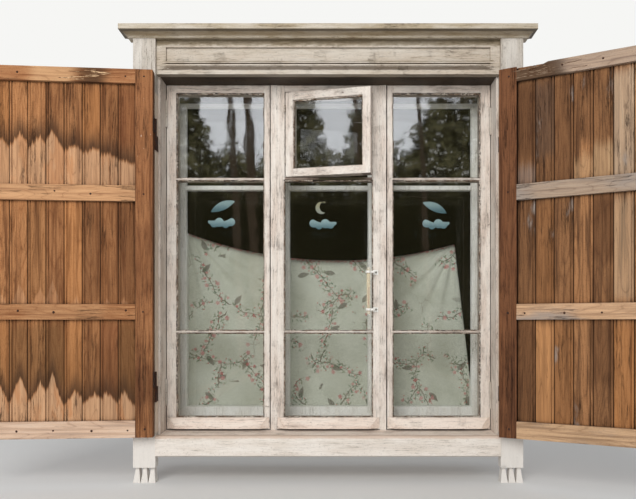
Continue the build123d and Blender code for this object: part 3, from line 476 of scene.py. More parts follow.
def pine(side, piece, woods, tones=(), tide=False, silver=0.0, flecks=False):
    """Bare pine on a shutter, read in distance from its hinge and height, so that it follows the boards.

    The woods are the pale, the ripe and the aged colour. Each tone is a board's number, a span
    along it, its colour and its strength; the hinge stile's number is -1."""
    pale, ripe, aged = woods
    finish = Finish(f"{side}_shutter_{piece}")
    hand = SHUTTER_SIDE[side]
    home = finish.scaled(hand, 1, 1, turn=SHUTTER_TURN[side], shift=(hand * HINGE_ACROSS, HINGE_FRONT, 0))
    out, deep, up = finish.place(home)
    counted = (out - BOARDS_FROM) / BOARD_PITCH
    board, share = finish.math("FLOOR", counted), finish.math("FRACT", counted)
    if piece == "rails":
        across, along, number, draw = up, out, finish.math("FLOOR", up * 2.3), 9.5
    else:
        across, along, number, draw = out, up, board, 40.5
    chance = finish.value(finish.add("TexWhiteNoise", {"W": number + draw}, noise_dimensions="1D"), "Value")
    inner_side = finish.range(deep, *INNER_HALF)

    def figure(stretch):
        """A place in the wood, stretched along the grain and apart from the next board's."""
        return finish.add("CombineXYZ", {0: across, 1: deep + number * 0.61, 2: along * stretch}).outputs[0]

    knots = finish.add("TexVoronoi", {"Vector": figure(0.6), "Scale": 6.5}, feature="F1")
    rare = finish.range(finish.place(knots.outputs["Color"])[0], 0.8, 0.81)
    near_knot = finish.range(knots.outputs["Distance"], 0.42, 0.0) * rare
    core = finish.range(knots.outputs["Distance"], 0.085, 0.05) * rare
    swirl = finish.noise(figure(0.1), scale=16, detail=1.5) * 15 + near_knot * 5
    rings = finish.math("PINGPONG", swirl, 0.5) * 2
    fine = finish.noise(figure(0.025), scale=420, detail=5, rough=0.7)
    streaks = finish.noise(figure(0.035), scale=75, detail=5, rough=0.62)
    weather = finish.noise(figure(0.35), scale=8, detail=5)
    grit = finish.noise(finish.coords, scale=240, detail=2, rough=0.7)

    def tide_marks(colour):
        """The jagged dark line above each rail, with the bleached wood below it."""
        middle_field, upper_field = finish.range(up, *MIDDLE_FIELD), finish.range(up, *UPPER_FIELD)
        tall = finish.range(board, 2.5, 3.5)
        line = middle_field * 0.36 + upper_field * 0.55 + 0.200
        line += out * 0.05 + tall * 0.035 + upper_field * finish.range(board, 0.5, 1.5, 0.0, 0.045)
        line += (chance - 0.5) * 0.035
        peak = finish.range(finish.math("FRACT", chance * 7.3), 0.0, 1.0, 0.3, 0.7)
        reach = tall * 0.11 - upper_field * 0.035 - tall * upper_field * 0.04 + 0.055
        teeth = (0.25 - abs(share - peak)) * reach * (chance + 0.5)
        jag = (finish.noise(figure(0.02), scale=130, detail=4, rough=0.65) - 0.5) * 0.075
        above = up - line - teeth - jag
        wet = finish.range(above, -0.003, 0.009) * inner_side
        band = wet * finish.range(above, 0.10, 0.0) * (0.95 - middle_field * 0.85 + upper_field * 0.95)
        dry = finish.range(above, 0.004, -0.012) * (0.75 - middle_field * 0.5 + upper_field * 0.35)
        dry *= inner_side * finish.range(streaks, 0.3, 0.7, 1.0, 0.5)
        rusty = dry * finish.range(finish.noise(figure(0.3), scale=14, detail=3), 0.52, 0.6)
        olive = wet * finish.range(above, 0.34, 0.0) * finish.range(up, 0.55, 0.5)
        colour = finish.mix(dry, colour, BLEACHED)
        colour = finish.mix(rusty * 0.7, colour, shade(178, 112, 62))
        colour = finish.mix(olive * 0.35, colour, shade(88, 62, 36))
        return finish.mix(band * finish.range(streaks, 0.2, 0.7, 0.95, 0.6), colour, TIDE_DARK)

    colour = finish.mix(finish.range(rings, 0.25, 0.9) * 0.4, pale, ripe)
    for mark, low, high, strength in (
        (streaks, 0.45, 0.66, 0.72), (chance, 0.3, 1.0, 0.45), (weather, 0.5, 0.75, 0.55),
        (fine, 0.48, 0.66, 0.45), (grit, 0.52, 0.68, 0.4),
    ):
        colour = finish.mix(finish.range(mark, low, high, 0.0, strength), colour, aged)
    for there, low, high, tone, strength in tones:
        here = finish.value(finish.add("Math", {0: number, 1: there, 2: 0.3}, operation="COMPARE"))
        ragged = along + streaks * 0.09
        patch = finish.range(ragged, low, low + 0.06) * finish.range(ragged, high + 0.06, high) * here
        patch *= inner_side * strength * finish.range(streaks, 0.2, 0.6, 1.0, 0.55)
        colour = finish.mix(patch, colour, tone)
    if tide:
        colour = tide_marks(colour)
    if silver:
        colour = finish.mix(finish.range(weather, 0.62 - 0.3 * silver, 0.7, 0.0, 0.85), colour, SILVERED)
    colour = finish.mix(finish.range(rings, 0.86, 0.98) * 0.25, colour, aged)
    if tones and piece != "rails":
        joint = finish.range(abs(share - 0.5), 0.468, 0.49, 0.0, 0.8)
        colour = finish.mix(joint, colour, shade(36, 20, 12))
    colour = finish.mix(core, colour, shade(62, 36, 22))
    if flecks:
        spots = finish.range(finish.noise(figure(0.3), scale=60, detail=4, rough=0.75), 0.66, 0.69)
        spots *= finish.range(up, 0.9, 1.0) * finish.range(out, 0.07, 0.06)
        colour = finish.mix(spots, colour, shade(226, 214, 198))
    # Painted shade: near black deep in the corners, as under the rails.
    corner = finish.range(1.0 - finish.crevice(0.02), 0.3, 0.75, 0.0, 0.9)
    colour = finish.mix(corner, colour, shade(24, 13, 8))
    checks = abs(finish.noise(figure(0.03), scale=48, detail=6, rough=0.7) - 0.5)
    checks = finish.range(checks, 0.012, 0.003) * finish.range(weather, 0.45, 0.6)
    colour = finish.mix(checks * 0.75, colour, shade(48, 30, 20))
    height = fine * 0.5 + rings * 0.25 - checks * 1.2 - core * 0.5
    dullness = finish.range(fine, 0.3, 0.7, 0.72, 0.92)
    finish.surface(colour, dullness, height, depth=0.0011, Specular_IOR_Level=0.25)
    finish.coat(f"{side}_shutter_{piece}")


OCHRE = shade(176, 118, 68)
UMBER = shade(80, 50, 30)
OLIVE = shade(98, 70, 40)
RUSSET = shade(128, 74, 46)
STRAW = shade(208, 172, 130)
HONEY = shade(214, 154, 100)
LEFT_PINE = (shade(184, 129, 84), shade(148, 94, 54), shade(84, 47, 25))
RIGHT_PINE = (shade(166, 118, 78), shade(128, 85, 53), shade(66, 42, 27))
LEFT_STILE_PINE = (shade(172, 119, 78), shade(142, 92, 57), shade(78, 43, 24))
RIGHT_STILE_PINE = (shade(132, 87, 57), shade(104, 64, 41), shade(60, 35, 22))
LEFT_RAIL_PINE = (shade(206, 154, 106), shade(174, 118, 74), shade(104, 58, 31))
RIGHT_RAIL_PINE = (shade(206, 168, 132), shade(168, 128, 94), shade(84, 56, 38))
left_tones = [
    (0, 1.2, 1.43, RUSSET, 0.4), (2, 1.2, 1.43, OCHRE, 0.55), (3, 1.2, 1.43, UMBER, 0.35),
    (7, 1.1, 1.43, OCHRE, 0.6), (0, 0.6, 0.98, UMBER, 0.45), (2, 0.6, 0.98, UMBER, 0.5),
    (3, 0.6, 0.98, OCHRE, 0.5), (5, 0.6, 0.98, OLIVE, 0.4), (0, 0.24, 0.52, OLIVE, 0.6),
    (1, 0.24, 0.52, RUSSET, 0.5), (3, 0.26, 0.52, OCHRE, 0.6), (4, 0.28, 0.52, OLIVE, 0.7),
    (5, 0.28, 0.52, OLIVE, 0.6), (6, 0.28, 0.52, OLIVE, 0.6), (7, 0.28, 0.52, OCHRE, 0.5),
]
right_tones = [
    (0, 1.15, 1.43, UMBER, 0.75), (1, 1.15, 1.43, shade(84, 66, 54), 0.85), (2, 1.04, 1.43, UMBER, 0.5),
    (3, 1.18, 1.43, UMBER, 0.6), (0, 1.04, 1.12, SILVERED, 0.5), (3, 1.04, 1.13, STRAW, 0.45),
    (4, 1.04, 1.17, shade(204, 170, 130), 0.6), (5, 1.04, 1.43, shade(194, 172, 146), 0.85),
    (6, 1.04, 1.43, shade(190, 154, 116), 0.5), (7, 1.04, 1.2, shade(190, 150, 110), 0.4),
    (1, 0.6, 0.98, OCHRE, 0.3), (4, 0.75, 0.98, UMBER, 0.75), (5, 0.6, 0.98, shade(196, 170, 138), 0.55),
    (0, 0.13, 0.52, UMBER, 0.5), (1, 0.13, 0.52, HONEY, 0.75), (2, 0.13, 0.52, OCHRE, 0.35),
    (4, 0.3, 0.52, UMBER, 0.5), (5, 0.13, 0.52, OCHRE, 0.7), (6, 0.13, 0.52, OCHRE, 0.4),
]
left_stile_tones = [
    (-1, 0.20, 0.36, shade(72, 42, 26), 0.6), (-1, 0.6, 0.9, shade(98, 58, 34), 0.5),
    (-1, 1.0, 1.45, RUSSET, 0.2),
]
left_rail_tones = [
    (0, -0.1, 0.9, shade(226, 204, 184), 0.85), (3, -0.1, 0.9, RUSSET, 0.7),
    (3, 0.31, 0.47, shade(226, 186, 140), 0.6), (3, 0.19, 0.31, shade(58, 40, 25), 0.8),
    (3, 0.20, 0.28, shade(48, 32, 20), 0.9), (2, -0.1, 0.9, shade(236, 188, 142), 0.55),
    (1, 0.2, 0.5, STRAW, 0.25), (1, -0.1, 0.9, RUSSET, 0.35),
]
right_rail_tones = [
    (0, -0.1, 0.9, shade(206, 170, 132), 0.6), (3, 0.22, 0.9, SILVERED, 0.8),
    (2, -0.1, 0.9, shade(178, 164, 148), 0.7), (3, -0.1, 0.26, shade(44, 28, 18), 1.0),
    (3, -0.1, 0.24, shade(60, 40, 26), 0.9), (1, -0.1, 0.9, shade(228, 184, 144), 0.6),
]
pine("left", "boards", LEFT_PINE, left_tones, tide=True)
pine("right", "boards", RIGHT_PINE, right_tones, silver=0.04)
pine("left", "stiles", LEFT_STILE_PINE, left_stile_tones, flecks=True)
pine("right", "stiles", RIGHT_STILE_PINE)
pine("left", "rails", LEFT_RAIL_PINE, left_rail_tones)
pine("right", "rails", RIGHT_RAIL_PINE, right_rail_tones, silver=0.6)


# Lift-off shutter hinges: pins on the casings, and leaves on the shutters that drop over them.
# Forged iron, never painted and rusted almost black.

iron = Finish("shutter_iron")
rust = iron.noise(iron.coords, scale=160, detail=6)
iron_tone = iron.mix(iron.range(rust, 0.4, 0.65), shade(44, 34, 30), shade(92, 54, 36))
iron.surface(iron_tone, iron.range(rust, 0.3, 0.7, 0.55, 0.95), rust, depth=0.0006, Metallic=0.3)
iron.coat("shutter_hinge_pins", "left_shutter_hinge_leaves", "right_shutter_hinge_leaves")


# Nail heads on the shutters' rails and stiles. Hand-driven iron nails, domed and rusted, one at each
# end of a rail and one through most of the boards between.

RAIL_HEIGHTS = (0.0985, 0.550, 1.0065, 1.458)
NAIL_OUTS = (0.036, 0.102, 0.236, 0.372, 0.506, 0.628)
NAIL_MISSED = 0.35
NAIL_STRAY = 0.006
HEAD_RADIUS = 0.0042
HEAD_HEIGHT = 0.0014
INNER_FACE = 0.044


def on_shutter(side, out, deep, up):
    """A place on an open shutter from its distance to the hinge, its depth and its height."""
    hand = SHUTTER_SIDE[side]
    spot = Matrix.Rotation(-SHUTTER_TURN[side], 2) @ Vector((hand * out, deep))
    return Vector((spot.x - hand * HINGE_ACROSS, spot.y - HINGE_FRONT, up))


class Growth(Wiring):
    """A Geometry Nodes tree with named inputs, which makes one plain mesh in one material."""

    def __init__(self, name, **inputs):
        super().__init__(bpy.data.node_groups.new(name, "GeometryNodeTree"))
        for label, kind in {"Geometry": "Geometry", **inputs, "Material": "Material"}.items():
            self.socket(label.replace("_", " "), "INPUT", kind)
        self.socket("Geometry", "OUTPUT", "Geometry")
        self.given = self.add("NodeGroupInput").outputs

    def socket(self, label, way, kind):
        self.tree.interface.new_socket(label, in_out=way, socket_type="NodeSocket" + kind)

    def end(self, made):
        real = self.add("GeometryNodeRealizeInstances", {0: made})
        paint = self.add(
            "GeometryNodeSetMaterial", {"Geometry": real.outputs[0], "Material": self.given["Material"]}
        )
        self.add("NodeGroupOutput", {0: paint.outputs[0]})
        return self.tree


def nail_head_tree():
    """Geometry Nodes: a flattened dome on each point, turned to face out of the timber."""
    growth = Growth("nail_heads", Head_radius="Float", Head_height="Float", Facing="Vector", Seed="Int")
    across, rise = growth.given["Head radius"], growth.given["Head height"]
    dome = growth.add("GeometryNodeMeshUVSphere", {"Segments": 12, "Rings": 8, "Radius": 1.0})
    size = growth.add("ShaderNodeCombineXYZ", {"X": across, "Y": across, "Z": rise})
    turn = growth.add("FunctionNodeAlignRotationToVector", {"Vector": growth.given["Facing"]}, axis="Z")
    placed = growth.add("GeometryNodeInstanceOnPoints", {
        "Points": growth.given["Geometry"], "Instance": dome.outputs["Mesh"],
        "Rotation": turn.outputs["Rotation"], "Scale": size.outputs[0],
    })
    chance = growth.add("FunctionNodeRandomValue", {"Seed": growth.given["Seed"]})
    low, high = [s for s in chance.inputs if s.name in ("Min", "Max") and s.type == "VALUE"]
    low.default_value, high.default_value = 0.8, 1.2
    drawn = [s for s in chance.outputs if s.type == "VALUE"][0]
    sized = growth.add("GeometryNodeScaleInstances", {"Instances": placed.outputs[0], "Scale": drawn})
    return growth.end(sized.outputs[0])


def standing(name, data):
    """A new object in the scene."""
    made = bpy.data.objects.new(name, data)
    bpy.context.scene.collection.objects.link(made)
    return made


def mesh_of(name, points, edges=(), faces=()):
    """A mesh from its points and what joins them."""
    mesh = bpy.data.meshes.new(name)
    mesh.from_pydata(points, edges, faces)
    return mesh


def settled(made, modifier):
    """The object as the modifier leaves it, with the modifier gone."""
    mesh = bpy.data.meshes.new_from_object(made.evaluated_get(bpy.context.evaluated_depsgraph_get()))
    made.modifiers.remove(modifier)
    made.data = mesh
    return made


def grown(name, tree, points, edges=(), **inputs):
    """The plain object that a Geometry Nodes tree makes from points or edges."""
    grower = standing(name, mesh_of(name, points, edges))
    modifier = grower.modifiers.new(name, "NODES")
    modifier.node_group = tree
    for item in tree.interface.items_tree:
        label = item.name.replace(" ", "_")
        if item.in_out == "INPUT" and label in inputs:
            modifier[item.identifier] = inputs[label]
    return settled(grower, modifier)


head_tree = nail_head_tree()
chance = np.random.default_rng(11)
for side in ("left", "right"):
    spots = []
    for up in RAIL_HEIGHTS:
        for number, out in enumerate(NAIL_OUTS):
            if 0 < number < len(NAIL_OUTS) - 1 and chance.random() < NAIL_MISSED:
                continue
            shift_out, shift_up = chance.uniform(-NAIL_STRAY, NAIL_STRAY, 2)
            spots.append(on_shutter(side, out + shift_out, INNER_FACE, up + shift_up))
    facing = on_shutter(side, 0, 1, 0) - on_shutter(side, 0, 0, 0)
    heads = grown(
        side + "_shutter_nails", head_tree, spots, Head_radius=HEAD_RADIUS, Head_height=HEAD_HEIGHT,
        Facing=tuple(facing), Seed=4, Material=iron.material,
    )
    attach(heads, side + "_shutter")


# Splinters where the shutters' top rails have rotted along their upper edge. Long slivers of pine
# lifted from the rail, paler than the weathered wood that they came from.

SPLINTER_STEPS = 6
SPLINTER_ROOT = INNER_FACE - 0.0012
SPLINTERS = (("left", (0.150, 0.330), 11), ("right", (0.012, 0.260), 15))


def shaped(name, shape):
    """Ends a mesh shape as an object."""
    mesh = bpy.data.meshes.new(name)
    shape.to_mesh(mesh)
    shape.free()
    return standing(name, mesh)


splinter_wood = Finish("splinter_wood")
sliver_grain = splinter_wood.noise(splinter_wood.scaled(20, 20, 160), scale=3, detail=6)
right_side = splinter_wood.range(splinter_wood.place()[0], -0.1, 0.1)
fresh = splinter_wood.mix(right_side, shade(226, 190, 148), shade(156, 134, 112))
sliver_tone = splinter_wood.mix(splinter_wood.range(sliver_grain, 0.4, 0.6), fresh, shade(84, 54, 34))
splinter_wood.surface(sliver_tone, 0.85, sliver_grain, depth=0.0008, Specular_IOR_Level=0.2)
for side, outs, count in SPLINTERS:
    shape = bmesh.new()
    for _ in range(count):
        start = chance.uniform(*outs)
        length = chance.uniform(0.035, 0.085)
        up = chance.uniform(1.440, 1.476)
        lean = chance.uniform(-0.07, 0.07)
        width = chance.uniform(0.002, 0.0055)
        lift = chance.uniform(0.0006, 0.0016)
        rings = []
        for step in range(SPLINTER_STEPS + 1):
            share = step / SPLINTER_STEPS
            half = width * math.sin(math.pi * (0.12 + 0.86 * share)) ** 0.7 * 0.5
            bow = lift * (0.4 + share)
            out, height = start + length * share, up + lean * length * share
            section = (
                (SPLINTER_ROOT, half), (SPLINTER_ROOT, -half), (INNER_FACE + bow * 0.5, -half * 0.8),
                (INNER_FACE + bow, half * 0.3),
            )
            places = [on_shutter(side, out, deep, height + rise) for deep, rise in section]
            rings.append([shape.verts.new(place) for place in places])
        for near, far in zip(rings, rings[1:]):
            for corner in range(4):
                after = (corner + 1) % 4
                shape.faces.new((near[corner], near[after], far[after], far[corner]))
        shape.faces.new(rings[0][::-1])
        shape.faces.new(rings[-1])
    bmesh.ops.recalc_face_normals(shape, faces=shape.faces)
    splinters = shaped(side + "_rail_splinters", shape)
    splinters.data.materials.append(splinter_wood.material)
    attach(splinters, side + "_shutter")


# Putty along the outer panes. A hand-run fillet of linseed putty from the glass up to the face of
# the sash, gone hard, cracked and fallen away in lengths, with ragged edges on the glass.

GLASS_FACE = 0.097
LOW_PANES = ((0.1203, 0.4648), (0.4786, 1.0964))
SIDE_PANES = LOW_PANES + ((1.1108, 1.4554),)
OUTER_PANES = {
    "left_casement": [(-0.6255, -0.269, *heights) for heights in SIDE_PANES],
    "right_casement": [(0.269, 0.6255, *heights) for heights in SIDE_PANES],
    "window_frame": [(-0.181, 0.181, *heights) for heights in LOW_PANES],
    "vent": [(-0.1425, 0.1405, 1.1488, 1.4245)],
}
FILLET_SECTION = ((0, -0.5, 0), (2.2, 0.75, 0), (2.0, 1.0, 0), (0, 0.1, 0))
VENT_PIN = (-0.17975, 0.081, 0)
VENT_AJAR = math.radians(-12)


def putty_tree():
    """Geometry Nodes: a fillet run along each loop, its size broken up by noise."""
    growth = Growth("putty_fillet", Step="Float", Fillet_width="Float", Seed="Float")

    def noise_of(scale, low, high, start, end):
        """A noise of the place, taken from low to high into start to end."""
        given = {"W": growth.given["Seed"], "Scale": scale}
        grain = growth.add("ShaderNodeTexNoise", given, noise_dimensions="4D").outputs[0]
        return growth.add("ShaderNodeMapRange", {0: grain, 1: low, 2: high, 3: start, 4: end}).outputs[0]

    def product(a, b):
        return growth.add("ShaderNodeMath", {0: a, 1: b}, operation="MULTIPLY").outputs[0]

    whole = product(noise_of(17, 0.42, 0.45, 0.25, 1.0), noise_of(140, 0.3, 0.7, 0.55, 1.25))
    path = growth.add("GeometryNodeMeshToCurve", {0: growth.given["Geometry"]})
    stepped = {0: path.outputs[0], "Length": growth.given["Step"]}
    steps = growth.add("GeometryNodeResampleCurve", stepped, mode="LENGTH")
    corners = {f"Point {number}": point for number, point in enumerate(FILLET_SECTION, 1)}
    section = growth.add("GeometryNodeCurvePrimitiveQuadrilateral", corners, mode="POINTS")
    run = growth.add("GeometryNodeCurveToMesh", {
        "Curve": steps.outputs[0], "Profile Curve": section.outputs[0],
        "Scale": product(whole, growth.given["Fillet width"]),
    })
    return growth.end(run.outputs[0])


putty = Finish("old_putty")
crumbs = putty.noise(putty.coords, scale=180, detail=6, rough=0.7)
broad = putty.noise(putty.coords, scale=22, detail=5)
tone = putty.mix(putty.range(broad, 0.4, 0.6), shade(216, 204, 190), shade(150, 128, 108))
tone = putty.mix(putty.range(crumbs, 0.5, 0.56), tone, shade(58, 42, 28))
putty.surface(tone, 0.85, crumbs, depth=0.0012)
fillet_tree = putty_tree()
for seed, (body, panes) in enumerate(OUTER_PANES.items()):
    corners, edges = [], []
    for left, right, low, high in panes:
        first = len(corners)
        corners += [(x, GLASS_FACE, z) for x, z in ((left, low), (right, low), (right, high), (left, high))]
        edges += [(first + side, first + (side + 1) % 4) for side in range(4)]
    fillets = grown(
        body + "_putty", fillet_tree, corners, edges, Step=0.004, Fillet_width=0.0044, Seed=float(seed),
        Material=putty.material,
    )
    if body == "vent":
        pivot = Matrix.Translation(VENT_PIN)
        fillets.data.transform(pivot @ Matrix.Rotation(VENT_AJAR, 4, "Z") @ pivot.inverted())
    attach(fillets, body)


# Stickers on the inner panes: a cloud on each, with a leaf or a crescent moon over it. Printed film,
# a third of a millimetre thick, pressed on to the outer face of the glass.

STICKER_FACE = 0.267
STICKER_T = 0.0003
CLOUD_LOBES = (
    (-0.054, 0.006, 0.008), (-0.036, -0.003, 0.015), (-0.012, 0.004, 0.020), (0.016, -0.005, 0.016),
    (0.040, 0.005, 0.018),
)
CLOUD_STEPS = 64
LEAF_STEPS = 20
UPPER_RISE = 0.074


def film(name, outline, place, colours):
    """A thin printed shape from its outline, tinted across its height."""
    shape = bmesh.new()
    ring = [shape.verts.new((place[0] + x, STICKER_FACE - STICKER_T, place[1] + z)) for x, z in outline]
    pushed = bmesh.ops.extrude_face_region(shape, geom=[shape.faces.new(ring)])["geom"]
    moved = [item for item in pushed if isinstance(item, bmesh.types.BMVert)]
    bmesh.ops.translate(shape, verts=moved, vec=(0, STICKER_T, 0))
    bmesh.ops.recalc_face_normals(shape, faces=shape.faces)
    sticker = shaped(name, shape)
    ink = Finish(name + "_print")
    worn = ink.noise(ink.coords, scale=90, detail=5)
    fade = ink.range(ink.place()[2] + worn * 0.02, place[1] - 0.01, place[1] + 0.03)
    ink.surface(ink.mix(fade, *colours), 0.45, worn, depth=0.0002)
    sticker.data.materials.append(ink.material)
    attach(sticker, "window_frame")


def cloud_outline(flip):
    """The round-lobed edge of a cloud, as seen from outside."""
    edge = []
    for step in range(CLOUD_STEPS):
        angle = math.tau * step / CLOUD_STEPS
        ray = Vector((math.cos(angle), math.sin(angle)))
        reach = 0.0
        for x, z, radius in CLOUD_LOBES:
            middle = Vector((x * flip, z))
            aside = middle.cross(ray)
            if abs(aside) < radius:
                reach = max(reach, middle.dot(ray) + math.sqrt(radius ** 2 - aside ** 2))
        edge.append((ray * reach)[:])
    return edge


def leaf_outline(flip):
    """A pointed leaf with a short stalk."""
    shares = [step / LEAF_STEPS for step in range(LEAF_STEPS + 1)]
    upper = [(0.058 * (2 * share - 1), 0.022 * math.sin(math.pi * share) ** 0.8) for share in shares]
    lower = [(x, -0.7 * z) for x, z in upper[-2:0:-1]]
    tilt = Matrix.Rotation(math.radians(24 * flip), 2)
    return [(tilt @ Vector((x * flip, z)))[:] for x, z in upper + lower]


def moon_outline():
    """A crescent, open to the lower right."""
    outer = [math.radians(50 + 8 * step) for step in range(31)]
    inner = [math.radians(282 - 8 * step) for step in range(26)]
    back = [(0.027 * math.cos(turn), 0.027 * math.sin(turn)) for turn in outer]
    return back + [(0.012 + 0.021 * math.cos(turn), 0.004 + 0.024 * math.sin(turn)) for turn in inner]


SKY_BLUE = (shade(92, 128, 138), shade(164, 192, 196))
MOON_TINT = (shade(176, 180, 168), shade(206, 200, 164))
uppers = ((leaf_outline(1), SKY_BLUE), (moon_outline(), MOON_TINT), (leaf_outline(-1), SKY_BLUE))
places = ((-0.473, 0.950, 1), (-0.028, 0.944, -1), (0.472, 0.944, -1))
for number, ((x, z, flip), (outline, tint)) in enumerate(zip(places, uppers), 1):
    film(f"cloud_sticker_{number}", cloud_outline(flip), (x, z), SKY_BLUE)
    film(f"upper_sticker_{number}", outline, (x + 0.004 * flip, z + UPPER_RISE), tint)


# Cloth behind the inner window. A light cotton with a small flowered print, hung from four nails in
# the timber, so that its top edge sags between them and slack folds run down from the corners.

CLOTH_BACK = 0.2936
CLOTH_STEP = 0.006
CLOTH_T = 0.0006
DEEPEST_FOLD = 0.016
PLEATED_NAILS = (
    (*CLOTH_TOP_LEFT, 23, 0.0085, 0.60), (-0.226, 0.790, 11, 0.0036, 0.25), (0.226, 0.780, 11, 0.0036, 0.25),
    (*CLOTH_TOP_RIGHT, 19, 0.0080, 0.50),
)


def fold_depth(x, z):
    """How far the cloth stands off behind the timber at a place.

    Each nail has a number of pleats round it, their depth and how far they reach."""
    depth = 0.0
    for nail_x, nail_z, pleats, size, reach in PLEATED_NAILS:
        away = math.hypot(x - nail_x, nail_z - z)
        turn = math.atan2(nail_z - z, x - nail_x)
        wave = math.cos(turn * pleats + 3 * noise.noise(Vector((turn * 2.4, away * 3, nail_x))))
        depth += size * max(wave, -0.4) * min(1, away / 0.1) * math.exp(-((away / reach) ** 2))
    spot = Vector((x * 3.1, z * 2.3, 0.7))
    depth += 0.0030 * (noise.noise(spot) + 0.6) + 0.0010 * (noise.noise(spot * 6) + 0.5)
    depth *= min(1.0, (z - CLOTH_FOOT) / 0.08 + 0.4)
    return min(max(depth + 0.0025, 0.0), DEEPEST_FOLD)


columns = round((CLOTH_FOOT_RIGHT - CLOTH_TOP_LEFT.x) / CLOTH_STEP)
rows = round((CLOTH_TOP_LEFT.y - CLOTH_FOOT) / CLOTH_STEP)
shape = bmesh.new()
flat = shape.loops.layers.uv.new("UVMap")
grid = []
for row in range(rows + 1):
    down = row / rows
    line = []
    for column in range(columns + 1):
        over = column / columns
        top_x = CLOTH_TOP_LEFT.x + (CLOTH_TOP_RIGHT.x - CLOTH_TOP_LEFT.x) * over
        top_z = SAG_CENTRE.y - math.sqrt(SAG_RADIUS ** 2 - (top_x - SAG_CENTRE.x) ** 2)
        foot_x = CLOTH_TOP_LEFT.x + (CLOTH_FOOT_RIGHT - CLOTH_TOP_LEFT.x) * over
        x = top_x * (1 - down) + foot_x * down
        z = top_z * (1 - down) + CLOTH_FOOT * down
        line.append(shape.verts.new((x, CLOTH_BACK + fold_depth(x, z), z)))
    grid.append(line)
for upper, lower in zip(grid, grid[1:]):
    for column in range(columns):
        face = shape.faces.new((upper[column], lower[column], lower[column + 1], upper[column + 1]))
        face.smooth = True
        for loop in face.loops:
            loop[flat].uv = (loop.vert.co.x, loop.vert.co.z)
hung_cloth = shaped("hung_cloth", shape)
thickness = hung_cloth.modifiers.new("thickness", "SOLIDIFY")
thickness.thickness = CLOTH_T
thickness.offset = -1
settled(hung_cloth, thickness)

CLOTH_GROUND = shade(232, 232, 220)
CLOTH_SHADE = shade(150, 148, 130)
TWIG_BROWN = shade(112, 92, 74)
CONE_BROWN = shade(98, 84, 70)
LEAF_GREEN = shade(98, 124, 98)
BLOSSOM = shade(204, 92, 98)
BLOSSOM_PALE = shade(226, 150, 150)


